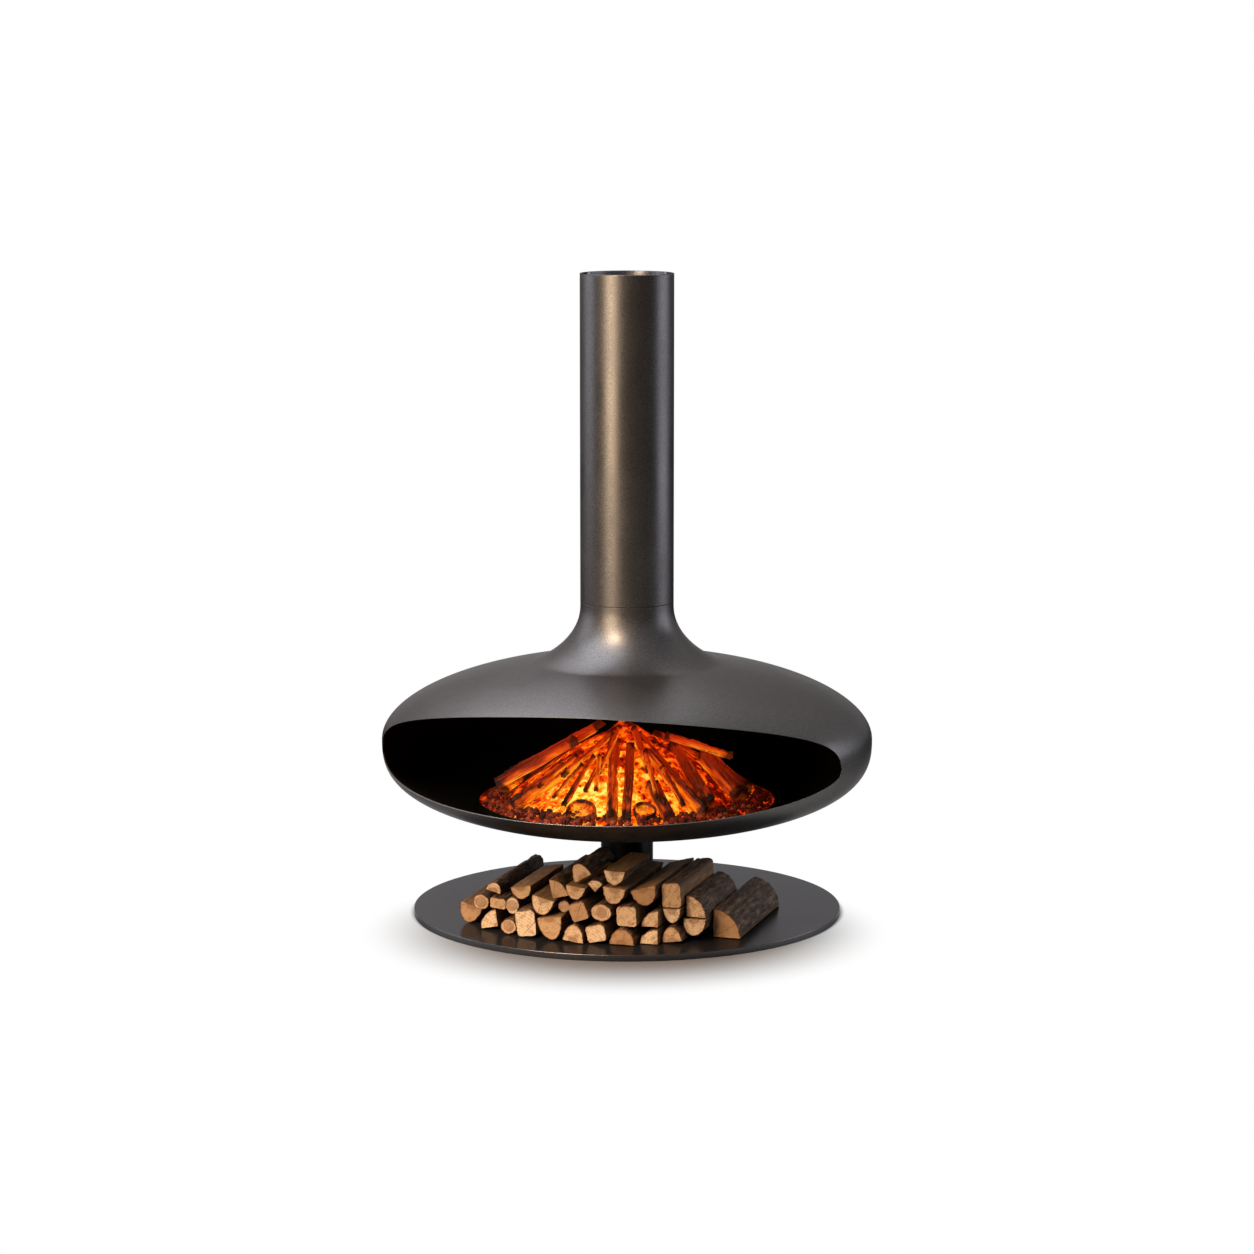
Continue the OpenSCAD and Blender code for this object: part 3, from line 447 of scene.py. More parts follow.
# Satin paint, smoother than the hood's: the column and the wood mirror softly in it.
plate_paint = metallic_paint("satin_plate_paint", "#606063", "#707073", 0.2)
plate_ease = 1.2 * mm
plate_low, plate_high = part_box("base_plate")
plate = turned("base_disc", [(0, plate_low.z), (plate_high.x, plate_low.z), (plate_high.x, plate_high.z),
                             (0, plate_high.z)], plate_ease, [plate_paint], around=256)
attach(plate, "root")
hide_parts("base_plate")

# ---------- Column ----------
# A 101.6 mm steel tube between a foot and a head, each a turned plug with a thin ring that shows. Satin
# black, and the only thing that carries the body.

# Satin black paint: a dark tube with one long, soft highlight.
column_paint = metallic_paint("satin_column_paint", "#171717", "#222222", 0.3)

column_wall = 4 * mm
column_ease = 0.5 * mm
column_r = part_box("column_tube")[1].x
plug_r = column_r - column_wall - 0.1 * mm
ring_t = 6 * mm
column = pipe("column_pipe", "column_tube", column_wall, column_ease, [column_paint])
foot_low, foot_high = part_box("column_foot")
foot = turned("column_foot_plug", [
    (0, foot_low.z), (foot_high.x, foot_low.z), (foot_high.x, foot_low.z + ring_t),
    (plug_r, foot_low.z + ring_t), (plug_r, foot_high.z), (0, foot_high.z)], column_ease, [column_paint])
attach(foot, "root")
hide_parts("column_foot")
head_low, head_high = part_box("column_head")
pocket_r = 38 * mm
pocket_h = 24 * mm
bush_r = 14 * mm
head = turned("column_head_plug", [
    (bush_r, head_low.z), (plug_r, head_low.z), (plug_r, head_high.z - ring_t),
    (head_high.x, head_high.z - ring_t), (head_high.x, head_high.z), (pocket_r, head_high.z),
    (pocket_r, head_high.z - pocket_h), (bush_r, head_high.z - pocket_h)], column_ease, [column_paint])
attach(head, "root")
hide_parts("column_head")

# ---------- Firewood ----------
# Short lengths of hardwood, sawn across and split along, with their bark left on, stacked loose in front of
# the column. Each lies where it comes to rest on the plate and on the wood below it.
log_length = 290 * mm
pile_arc_r = 340 * mm
pile_yaw = math.radians(-4)
pile_room = 8 * mm
wood_seat = 0.3 * mm
# Each log: place across, width, height, outline, set back, cut short (millimetres), tilt (degrees).
FIREWOOD = {
    "firewood_bottom_row": [
        (-237, 48, 38, 2, 4, 0, -14), (-186, 38, 36, 5, 3, 0, 10), (-139, 34, 32, 0, 2, 0, 0),
        (-51, 52, 46, 2, 5, 0, 8), (-2, 44, 36, 1, 0, 0, -6), (41, 40, 36, 6, 4, 0, 12),
        (90, 52, 33, 1, 0, 0, 0), (135, 38, 31, 5, 6, 0, 0), (176, 42, 32, 1, 2, 0, 8),
        (262, 56, 57, 4, 0, 0, 0), (-100, 42, 54, 6, 2, 0, 6), (210, 48, 36, 2, 8, 30, 0)],
    "firewood_middle_row": [
        (-211, 35, 33, 0, 8, 20, 0), (-168, 34, 24, 6, 10, 0, -6), (-135, 30, 36, 0, 14, 0, 0),
        (-66, 48, 36, 2, 12, 20, -12), (-29, 26, 26, 0, 30, 40, 0), (7, 36, 38, 6, 6, 0, 20),
        (49, 44, 36, 0, 10, 0, 0), (96, 42, 42, 6, 8, 0, 0), (135, 36, 34, 5, 12, 0, 0),
        (172, 38, 30, 2, 16, 30, 2)],
    "firewood_top_row": [
        (-183, 34, 22, 1, 18, 30, -14), (-118, 44, 27, 2, 20, 90, 8), (-38, 34, 40, 4, 24, 60, 14),
        (-1, 41, 28, 2, 16, 70, -8), (71, 48, 34, 2, 18, 40, -4), (34, 32, 26, 3, 22, 60, 0),
        (122, 54, 36, 2, 18, 30, 16), (213, 41, 44, 4, 10, 70, 0), (171, 40, 50, 6, 16, 60, 2),
        (7, 40, 34, 1, 28, 135, 30), (69, 44, 30, 2, 26, 120, -2)]}


def split_outline(kind, w, h):
    """Outline of a piece of split wood standing on zero, its pith, and 1 for each edge that has bark:
    0 round, 1 half flat down, 2 half flat up, 3 wedge on its tip, 4 and 5 quarters, 6 squared."""
    if kind == 0:
        a = np.radians(np.arange(0, 360, 30))
        return np.stack([w / 2 * np.cos(a), h / 2 * (1 + np.sin(a))], -1), (0, h / 2), np.ones(12)
    if kind in (1, 2):
        a = np.radians(np.arange(10, 171, 20))
        arc = np.stack([w / 2 * np.cos(a), h * np.sin(a)], -1)
        points = np.concatenate([[(-w / 2, 0), (w / 2, 0)], arc])
        points, pith = (points, (0, 0)) if kind == 1 else ((0, h) - points, (0, h))
        return points, pith, np.append(0, np.ones(len(points) - 1))
    if kind == 3:
        points = [(0, 0), (w / 2, 0.68 * h), (0.3 * w, 0.92 * h), (0, h), (-0.3 * w, 0.92 * h),
                  (-w / 2, 0.68 * h)]
        return np.array(points), (0, 0), np.array([0, 1, 1, 1, 1, 0])
    if kind == 4:
        a = np.radians(np.arange(0, 91, 18))
        points = np.concatenate([[(-w / 2, 0)], np.stack([w * (np.cos(a) - 0.5), h * np.sin(a)], -1)])
        return points, (-w / 2, 0), np.array([0, 1, 1, 1, 1, 1, 0])
    if kind == 5:
        points, pith, bark = split_outline(4, w, h)
        return points[::-1] * (-1, 1), (-pith[0], 0), np.roll(bark[::-1], -1)
    points = [(-0.42 * w, 0), (0.42 * w, 0), (w / 2, 0.12 * h), (0.48 * w, 0.84 * h), (0.36 * w, h),
              (-0.4 * w, 0.96 * h), (-w / 2, 0.8 * h), (-0.48 * w, 0.14 * h)]
    return np.array(points), (-0.7 * w, -0.3 * h), np.array([0, 0, 0, 1, 1, 0, 0, 0])


def tilted(outline, pith, turn):
    """An outline and its pith turned in their plane, then centred and stood on zero again."""
    c, s = math.cos(math.radians(turn)), math.sin(math.radians(turn))
    spin = np.array([[c, s], [-s, c]])
    raw = outline @ spin
    shift = np.array([(raw[:, 0].min() + raw[:, 0].max()) / 2, raw[:, 1].min()])
    return raw - shift, np.array(pith) @ spin - shift


def crossings(line, x):
    """Heights at which a closed outline crosses the upright line at x."""
    found = []
    for a, b in zip(line, np.roll(line, -1, 0)):
        if min(a[0], b[0]) <= x <= max(a[0], b[0]):
            flat = abs(b[0] - a[0]) < 1e-6
            found += [a[1], b[1]] if flat else [a[1] + (b[1] - a[1]) * (x - a[0]) / (b[0] - a[0])]
    return found


def drop_on(line, below):
    """Lift at which an outline rests on another below it, or 0 where they don't share a place across."""
    low = max(line[:, 0].min(), below[:, 0].min())
    high = min(line[:, 0].max(), below[:, 0].max())
    if low >= high:
        return 0
    places = [x for x in [*line[:, 0], *below[:, 0], low, high] if low <= x <= high]
    return max(max(crossings(below, x)) - min(crossings(line, x)) for x in places) + wood_seat


def value_noise(rng, rows, cols, cells_r, cells_c):
    """Random numbers at the corners of a coarse grid, blended smoothly over a fine one that closes around."""
    corner = rng.random((cells_r + 1, cells_c))
    r = np.linspace(0, cells_r, rows)
    c = np.arange(cols) * cells_c / cols
    i, j = np.minimum(r.astype(int), cells_r - 1), c.astype(int)
    f, g = (r - i)[:, None], (c - j)[None, :]
    f, g = f * f * (3 - 2 * f), g * g * (3 - 2 * g)
    after = (j + 1) % cells_c
    low = corner[i][:, j] * (1 - g) + corner[i][:, after] * g
    high = corner[i + 1][:, j] * (1 - g) + corner[i + 1][:, after] * g
    return low * (1 - f) + high * f


def rounded_outline(line, bark, count, ease):
    """An outline as count points an even way apart, its corners drawn in by averaging neighbours."""
    closed = np.append(line, line[:1], 0)
    way = ways(closed)
    share = np.arange(count) / count
    fine = along(closed, share)
    mark = bark[np.minimum(np.searchsorted(way, share * way[-1], "right") - 1, len(bark) - 1)]
    for _ in range(ease):
        fine = (np.roll(fine, 1, 0) + 2 * fine + np.roll(fine, -1, 0)) / 4
        mark = (np.roll(mark, 1) + 2 * mark + np.roll(mark, -1)) / 4
    return fine, mark


def billet(rng, outline, pith, bark, length, frame_at, around=72, stations=40, depth=1.0, slant=0.05):
    """A log as one grid: rings over the front end, stations along the side, rings over the back end. The
    side is drawn in by bark ridges and split fibres, times depth; its ends are off square by up to slant;
    frame_at gives its origin, side, length and up."""
    line, bark = rounded_outline(outline, bark, around, ease=2)
    middle = line.mean(0)
    way = np.roll(line, -1, 0) - np.roll(line, 1, 0)
    to_core = np.stack([-way[:, 1], way[:, 0]], -1) / np.linalg.norm(way, axis=1)[:, None]
    edge_along, edge_in = 0.9 * mm, 0.8 * mm
    place = np.concatenate([[0, edge_along], np.linspace(0, length, stations)[1:-1],
                            [length - edge_along, length]])
    rows = len(place)
    # Bark has deep furrows between plates, and fine ridges; split faces have fibres and slow waves.
    plates = np.abs(value_noise(rng, rows, around, 7, 13) - 0.5) * 2
    ridges = np.abs(value_noise(rng, rows, around, 22, 34) - 0.5) * 2
    fibres = value_noise(rng, rows, around, 5, 40)
    waves = value_noise(rng, rows, around, 4, 5)
    rough = bark * (1.5 * (1 - plates) ** 3 + 0.9 * (1 - ridges)) + (1 - bark) * (0.8 * fibres + waves)
    rough = 0.25 * mm + depth * mm * rough
    rough[[0, -1]] += edge_in
    sides = line[None] + to_core[None] * rough[..., None]
    steps = np.array([0.9, 0.75, 0.55, 0.32, 0.0])
    front = middle + (sides[0] - middle) * steps[::-1, None, None]
    back = middle + (sides[-1] - middle) * steps[:, None, None]
    flat = np.concatenate([front, sides, back])
    cap = len(steps)
    lean = rng.uniform(-slant, slant, 2)
    saw = 0.5 * mm * value_noise(rng, cap, around, 3, 9)
    slope = np.abs((flat - middle) @ lean)
    z = np.concatenate([np.zeros(cap), place, np.full(cap, length)])[:, None] + np.zeros((1, around))
    share = z / length
    z = z + (1 - share) ** 8 * slope - share ** 8 * slope
    z[:cap] += saw[::-1] * steps[::-1, None]
    z[-cap:] -= saw * steps[:, None]
    origin, side, ahead, up = (np.array(v, float) for v in frame_at)
    points = origin + flat[..., :1] * side + flat[..., 1:] * up + z[..., None] * ahead
    faces = grid_faces(len(flat), around)
    if np.dot(np.cross(side, ahead), up) > 0:
        faces = faces[:, ::-1]
    wood = np.concatenate([flat - pith, z[..., None]], -1)
    cut = np.concatenate([np.ones(cap), [1], np.zeros(rows - 2), [1], np.ones(cap)])[:, None]
    rim = np.concatenate([np.zeros(cap), np.ones(rows), np.zeros(cap)])[:, None]
    mark = np.stack([bark[None] * rim, cut + np.zeros((1, around)),
                     np.full((len(flat), around), rng.random())], -1)
    return points.reshape(-1, 3), faces, wood.reshape(-1, 3), mark.reshape(-1, 3)


def gather(name, parts, materials, sharp=38):
    """One piece from several billets, with the wood and mark attributes that the finish reads."""
    starts = np.append(0, np.cumsum([len(part[0]) for part in parts]))
    faces = np.concatenate([part[1] + start for part, start in zip(parts, starts)])
    points, wood, mark = (np.concatenate([part[i] for part in parts]) for i in (0, 2, 3))
    return lay_piece(name, points, faces, materials, sharp, {"wood": wood, "mark": mark})


# Air-dried split hardwood: bands of growth rings about 5 mm apart round the pith on the sawn ends, with
# drying cracks; straight fibre on the split faces; grey-brown ridged bark on the rest.
def firewood_finish():
    """Colour from the distance to the pith, the way along the fibre, and the bark and saw-cut marks."""
    wood, tree, shader = finish_of("split_hardwood", Roughness=0.75, Specular_IOR_Level=0.25)
    grain = add(tree, "Attribute", attribute_name="wood").outputs["Vector"]
    mark = add(tree, "Attribute", attribute_name="mark").outputs["Vector"]
    bark, cut, tone = add(tree, "SeparateXYZ", mark).outputs
    shifted = add(tree, "VectorMath", mark, operation="SCALE", Scale=3.7)
    own = add(tree, "VectorMath", grain, shifted, operation="ADD")
    flat = add(tree, "VectorMath", grain, (1, 1, 0), operation="MULTIPLY")
    pith_way = add(tree, "VectorMath", flat, operation="LENGTH")
    wobble = add(tree, "TexNoise", own, Scale=1 / (22 * mm), Detail=3.0)
    ring_at = add(tree, "Math", wobble, 7 * mm, pith_way, operation="MULTIPLY_ADD")
    ring_turn = add(tree, "Math", ring_at, 2 * math.pi / (5.5 * mm), operation="MULTIPLY")
    ring = add(tree, "Math", ring_turn, operation="SINE")
    # Sawn end: pale sapwood, a darker heart of uneven outline, rings and cracks that run from the pith.
    pale = add(tree, "ValToRGB", tone, ramp=[
        (0.0, "#e8cfac"), (0.4, "#dcbd95"), (0.75, "#c9a47b"), (1.0, "#a98058")])
    end = stain(tree, pale, "#a9805a", ring, -0.2, 1.0, 0.0, 0.34)
    end = stain(tree, end, "#8a5f3e", ring_at, 13 * mm, 16.5 * mm, 0.6, 0.0)
    blotch = add(tree, "TexNoise", own, Scale=1 / (9 * mm), Detail=4.0)
    end = stain(tree, end, "#8f6546", blotch, 0.5, 0.68, 0.0, 0.65)
    from_pith = add(tree, "SeparateXYZ", grain).outputs
    bearing = add(tree, "Math", from_pith[1], from_pith[0], operation="ARCTAN2")
    crack_at = add(tree, "Math", bearing, 2.6, tone, operation="MULTIPLY_ADD")
    crack_place = add(tree, "CombineXYZ", crack_at, pith_way, tone)
    crack = add(tree, "TexNoise", crack_place, Scale=2.4, Detail=1.0)
    crack = add(tree, "Math", crack, 0.5, operation="SUBTRACT")
    crack = add(tree, "Math", crack, operation="ABSOLUTE")
    end = stain(tree, end, "#3c2415", crack, 0.0, 0.012, 0.85, 0.0)
    # Split face: fibres 2.4 mm wide that run the length of the piece, weathered in patches. Real fibres are
    # half as wide; they are drawn coarser, so that they show.
    long_way = add(tree, "VectorMath", own, (1, 1, 0.06), operation="MULTIPLY")
    fibre = add(tree, "TexNoise", long_way, Scale=1 / (2.4 * mm), Detail=4.0)
    face = add(tree, "ValToRGB", fibre, ramp=[(0.3, "#664628"), (0.5, "#8f6a42"), (0.7, "#b68c5d")])
    patch = add(tree, "TexNoise", own, Scale=1 / (45 * mm), Detail=3.0)
    face = stain(tree, face, "#6b543e", patch, 0.42, 0.66, 0.0, 0.7)
    # Bark: plates 8 mm wide split by dark furrows, with rusty patches.
    slow_way = add(tree, "VectorMath", own, (1, 1, 0.2), operation="MULTIPLY")
    furrow = add(tree, "TexNoise", slow_way, Scale=1 / (8 * mm), Detail=5.0, Roughness=0.65)
    hide = add(tree, "ValToRGB", furrow, ramp=[
        (0.36, "#1a110c"), (0.46, "#42301f"), (0.57, "#6d563f"), (0.7, "#9a8468")])
    rust = add(tree, "TexNoise", own, Scale=1 / (30 * mm), Detail=2.0)
    hide = stain(tree, hide, "#5e3c26", rust, 0.45, 0.7, 0.0, 0.55)
    body = add(tree, "Mix", bark, data_type="RGBA", n6=face, n7=hide)
    end = stain(tree, end, "#7c4a2a", bark, 0.3, 0.75, 0.0, 0.9)
    colour = stain(tree, body, end, cut, 0.4, 0.6, 0.0, 1.0)
    height = add(tree, "Mix", bark, data_type="FLOAT", n2=fibre, n3=furrow)
    bump = add(tree, "Bump", Height=height, Strength=0.5, Distance=1.2 * mm)
    feed(tree, shader, Base_Color=colour, Normal=bump)
    return wood


split_hardwood = firewood_finish()
yaw_side = (math.cos(pile_yaw), math.sin(pile_yaw), 0)
yaw_ahead = (-math.sin(pile_yaw), math.cos(pile_yaw), 0)
wood_rng = np.random.default_rng(11)
# A log that would meet the column is cut short in front of it.
zone = column_r + pile_room
pile = []
for row, logs in FIREWOOD.items():
    parts = []
    for across, w, h, kind, back, short, tilt in logs:
        outline, pith, bark = split_outline(kind, w * mm, h * mm)
        outline, pith = tilted(outline, pith, tilt)
        outline, pith = outline + (across * mm, 0), pith + (across * mm, 0)
        lift = max([plate_high.z] + [drop_on(outline, below) for below in pile])
        outline, pith = outline + (0, lift), pith + (0, lift)
        pile.append(outline)
        start = -math.sqrt(pile_arc_r ** 2 - (across * mm) ** 2) + back * mm
        length = log_length - short * mm
        if outline[:, 0].min() < zone and outline[:, 0].max() > -zone:
            length = min(length, -start - zone)
        place = (np.array(yaw_ahead) * start, yaw_side, yaw_ahead, (0, 0, 1))
        parts.append(billet(wood_rng, outline, pith, bark, length, place))
    stack = gather(row + "_logs", parts, [split_hardwood])
    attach(stack, "root")
    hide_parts(row)

# ---------- Ember bed ----------
# A cone of glowing fuel in a steel tray, heaped to the middle of the hearth: yellow heat low at the front,
# redder up the slope and towards the back, under a scatter of dark crumbs.
bed_low, bed_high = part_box("ember_bed")
bed_z = bed_low.z
bed_r = bed_high.x
bed_h = 154 * mm
bed_edge_h = 5 * mm
bed_shelf_r = bed_r - 33 * mm
bed_tip_r = 14 * mm
bed_slope = (bed_h - bed_edge_h) / bed_shelf_r
bed_least_h = 1 * mm
bed_calm_r = 60 * mm


def bed_height(r):
    """Height of the heap at a distance from the axis: a cone with a blunt tip and a flat edge."""
    return bed_z + np.maximum(bed_edge_h, bed_h - bed_slope * np.maximum(r, bed_tip_r))


# Glowing embers: not one colour of light, but hot gaps between lumps that have skinned over.
def ember_finish():
    """Heat from clouds 30 mm and lumps 15 mm across, hottest low at the front, cooler up the slope and on
    crumbs 9 mm across, drawn as emission from dark red to yellow."""
    ember, tree, shader = finish_of("glowing_embers", Base_Color="#4a1206", Roughness=0.9,
                                    Specular_IOR_Level=0.1, Emission_Strength=1.2)
    place = add(tree, "TexCoord").outputs["Object"]
    warp = add(tree, "TexNoise", place, Scale=1 / (14 * mm), Detail=3.0).outputs["Color"]
    warp = add(tree, "VectorMath", warp, operation="SCALE", Scale=18 * mm)
    bent = add(tree, "VectorMath", place, warp, operation="ADD")
    lump = add(tree, "TexVoronoi", bent, Scale=1 / (15 * mm))
    cloud = add(tree, "TexNoise", bent, Scale=1 / (30 * mm), Detail=7.0, Roughness=0.7)
    cloud = add(tree, "MapRange", cloud, 0.41, 0.59, -0.08, 0.5)
    hottest_at = (-0.03, -0.19, bed_z + 0.035)
    hot = add(tree, "VectorMath", place, hottest_at, operation="DISTANCE")
    hot = add(tree, "MapRange", hot, 0.03, 0.23, 0.52, 0.0)
    heat = add(tree, "Math", hot, cloud, operation="ADD")
    skin = add(tree, "MapRange", lump, 0.15, 0.6, -0.1, 0.13)
    heat = add(tree, "Math", heat, skin, operation="ADD")
    height = add(tree, "SeparateXYZ", place).outputs[2]
    upper = add(tree, "MapRange", height, bed_z + 0.06, bed_z + 0.14, 0.0, 0.12)
    heat = add(tree, "Math", heat, upper, operation="SUBTRACT")
    crumb = add(tree, "TexVoronoi", bent, Scale=1 / (9 * mm)).outputs
    round_crumb = add(tree, "MapRange", crumb["Distance"], 0.3, 0.4, 0.42, 0.0)
    some = add(tree, "SeparateXYZ", crumb["Color"])
    some = add(tree, "MapRange", some, 0.8, 0.84, 0.0, 1.0)
    crumbs = add(tree, "Math", round_crumb, some, operation="MULTIPLY")
    heat = add(tree, "Math", heat, crumbs, operation="SUBTRACT")
    glow = add(tree, "ValToRGB", heat, ramp=[
        (0.06, "#3a0702"), (0.24, "#8f1603"), (0.42, "#dc3404"), (0.58, "#fb640a"), (0.76, "#ffa61c"),
        (0.92, "#ffe464")])
    bump = add(tree, "Bump", Height=lump, Strength=0.6, Distance=3 * mm)
    feed(tree, shader, Emission_Color=glow, Normal=bump)
    return ember


glowing_embers = ember_finish()
bed_rng = np.random.default_rng(5)
bed_rows, bed_cols = 96, 300
bed_share = np.linspace(0, 1, bed_rows)[:, None]
bed_turn = np.arange(bed_cols)[None] * 2 * math.pi / bed_cols
bed_radius = bed_r * (1 - bed_share) + 0 * bed_turn
# Roughness of three sizes, and a swelling that closes the gaps under the burning wood: 9 mm between foot and
# tip, 14 mm at the tip, and 13 mm at 95 mm from the axis on the two flanks. Within bed_calm_r of the axis
# the roughness fades out.
bed_rough = sum(value_noise(bed_rng, bed_rows, bed_cols, cells_up, cells_round) * deep for
                cells_up, cells_round, deep in [(9, 30, 4), (22, 80, 3), (40, 150, 1.5)]) * mm
bed_swell = (9 * mm * np.sin(math.pi * np.clip((bed_share - 0.12) / 0.8, 0, 1))
             + 14 * mm * np.exp(-(bed_radius / (55 * mm)) ** 2)
             + 13 * mm * np.exp(-((bed_radius - 95 * mm) / (50 * mm)) ** 2) * np.abs(np.sin(bed_turn)) ** 3)
bed_top = bed_height(bed_radius) + bed_swell - bed_rough * np.minimum(1, bed_radius / bed_calm_r)
bed_top = np.maximum(bed_top, bed_z + bed_least_h)
bed_under = about(0 * bed_turn, bed_turn, bed_z)
bed_wall = about(bed_r, bed_turn, bed_z)
bed = lay_piece("ember_heap", np.concatenate([bed_under, bed_wall, about(bed_radius, bed_turn, bed_top)]),
                grid_faces(bed_rows + 2, bed_cols), [glowing_embers])
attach(bed, hood_body)
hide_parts("ember_bed")

# ---------- Lava rim ----------
# Crushed lava and burnt-out ember, loose along the foot of the heap: rough dark red-brown lumps, some of
# which glow dully.


def lumps(rng, name, places, sizes, materials):
    """Rough stones on a grid of 5 by 7 points each: a ball whose radius changes at random, squashed by up to
    30 percent each way and turned. Their mark is one random number each, for the finish."""
    rows, cols = 5, 7
    tilt = np.linspace(0, math.pi, rows)[:, None]
    turn = np.arange(cols)[None] * 2 * math.pi / cols
    ball = np.stack([np.sin(tilt) * np.cos(turn), np.sin(tilt) * np.sin(turn), np.cos(tilt) + 0 * turn], -1)
    count = len(places)
    swell = rng.uniform(0.68, 1.0, (count, rows, cols))
    swell[:, 0], swell[:, -1] = swell[:, 0, :1], swell[:, -1, :1]
    stretch = rng.uniform(0.7, 1.0, (count, 1, 1, 3))
    spin = rng.uniform(0, 2 * math.pi, count)
    stone = ball[None] * swell[..., None] * stretch * np.array(sizes)[:, None, None, None]
    c, s = np.cos(spin)[:, None, None], np.sin(spin)[:, None, None]
    x, y = stone[..., 0] * c - stone[..., 1] * s, stone[..., 0] * s + stone[..., 1] * c
    points = np.stack([x, y, stone[..., 2]], -1) + np.array(places)[:, None, None, :]
    cells = grid_faces(rows, cols)[:, ::-1]
    faces = (cells[None] + (np.arange(count) * rows * cols)[:, None, None]).reshape(-1, 4)
    tone = np.repeat(rng.random(count), rows * cols)
    return lay_piece(name, points, faces, materials, 30, {"mark": np.stack([tone, tone, tone], -1)})


# Porous lava, broken: matt, dull red to black-brown, pitted.
def lava_finish():
    """Dark red-brown that varies by stone, pits 3 mm across, and a dull glow in patches of 26 mm."""
    lava, tree, shader = finish_of("broken_lava", Roughness=0.85, Specular_IOR_Level=0.3,
                                   Emission_Strength=0.4)
    place = add(tree, "TexCoord").outputs["Object"]
    mark = add(tree, "Attribute", attribute_name="mark").outputs["Vector"]
    tone = add(tree, "SeparateXYZ", mark)
    pit = add(tree, "TexNoise", place, Scale=1 / (3 * mm), Detail=4.0)
    tone = add(tree, "Math", tone, 0.6, operation="MULTIPLY")
    share = add(tree, "Math", pit, 0.5, tone, operation="MULTIPLY_ADD")
    colour = add(tree, "ValToRGB", share, ramp=[
        (0.25, "#1c0a07"), (0.5, "#4e1d12"), (0.75, "#8a3a24"), (0.95, "#a45a3e")])
    ash = add(tree, "TexNoise", place, Scale=1 / (26 * mm), Detail=2.0)
    glow = add(tree, "MapRange", ash, 0.56, 0.74, 0.0, 1.0)
    heat = add(tree, "ValToRGB", glow, ramp=[(0.0, "#330b04"), (0.6, "#902205"), (1.0, "#ff7410")])
    bump = add(tree, "Bump", Height=pit, Strength=0.8, Distance=1.5 * mm)
    feed(tree, shader, Base_Color=colour, Emission_Color=heat, Normal=bump)
    return lava


broken_lava = lava_finish()
lava_rng = np.random.default_rng(23)
lava_count = 1150
# Stones of 4 to 9 mm radius lie in a ring 52 mm wide, banked up by up to 20 mm in its middle.
lava_ring_wide = 52 * mm
lava_gap = 1.5 * mm
lava_bank_in = 31 * mm
lava_bank_h = 20 * mm
lava_turn = np.sort(lava_rng.uniform(0, 2 * math.pi, lava_count))
lava_size = (4.2 + 5.2 * lava_rng.random(lava_count) ** 1.6) * mm
lava_ring = bed_r - lava_gap - lava_size - lava_rng.random(lava_count) * lava_ring_wide
lava_bank = np.clip(1 - np.abs(lava_ring - bed_r + lava_bank_in) / lava_bank_in, 0, 1) * lava_bank_h
lava_z = bed_height(lava_ring) + lava_bank * lava_rng.uniform(0.3, 1, lava_count)
# Twelve burnt-out lumps of 11 to 16 mm radius lie among them, at these turns about the axis.
rocks = np.radians([-50, -44, -39, -33, -28, -24, -20, -57, 20, 33, 41, -12])
lava_turn = np.append(lava_turn, rocks)
lava_size = np.append(lava_size, lava_rng.uniform(11, 16, len(rocks)) * mm)
lava_ring = np.append(lava_ring, bed_r - lava_rng.uniform(24, 44, len(rocks)) * mm)
lava_z = np.append(lava_z, bed_height(lava_ring[-len(rocks):]) + 6 * mm)
lava = lumps(lava_rng, "lava_stones", about(lava_ring, lava_turn, lava_z), lava_size, [broken_lava])
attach(lava, hood_body)
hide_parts("lava_lumps")

# ---------- Burning wood ----------
# Split lengths leaning up the heap from its foot towards its tip, alight from below: orange next to the
# heap, brown above, charred at both ends and in checks along the fibre. The orange low down is partly the
# wood's own glow and partly painted light, the embers' glow on the wood drawn as its emission.

# Each piece: foot x, foot y, tip x, tip y, width, height (millimetres) and outline, as for the firewood.
BURNING = {
    "fire_logs_front": [
        (-230, -74, -230, 58, 22, 14, 1), (234, -58, 228, 66, 24, 14, 1), (27, -248, -14, -46, 21, 22, 1),
        (55, -243, 21, -58, 18, 20, 6), (-42, -170, -26, -85, 9, 9, 6), (-77, -200, -45, -78, 12, 13, 1),
        (-180, -168, -93, -93, 26, 24, 1), (-237, -76, -82, -46, 24, 22, 4), (129, -212, 77, -140, 22, 22, 6),
        (184, -160, 54, -64, 24, 24, 1), (188, -134, 82, -2, 21, 22, 4), (237, -79, 149, 5, 30, 26, 6),
        (245, -40, 166, 44, 22, 22, 1)],
    "fire_logs_back": [
        (-246, 24, -46, 14, 16, 16, 1), (-221, 117, -88, 52, 24, 22, 4), (-158, 194, -58, 62, 22, 22, 1),
        (-62, 242, -22, 72, 24, 24, 6), (34, 247, 16, 76, 22, 22, 1), (128, 214, 46, 68, 24, 24, 5),
        (212, 130, 40, 28, 19, 20, 1)],
    "fire_kindling": [
        (-96, -128, -16, -34, 11, 12, 1), (-18, -160, -4, -40, 10, 10, 1), (74, -132, 20, -30, 13, 12, 1),
        (118, -88, 24, -12, 12, 12, 1), (-60, 110, -14, 40, 12, 12, 1), (-100, -186, -60, -112, 9, 9, 1),
        (-136, -160, -74, -92, 10, 10, 1), (104, -196, 62, -116, 10, 10, 1), (-10, -218, -24, -128, 9, 9, 1),
        (152, -186, 92, -108, 12, 11, 1), (-150, -40, -50, -22, 12, 12, 1), (214, -38, 78, -14, 16, 15, 1)]}
fire_seat = 0.3 * mm


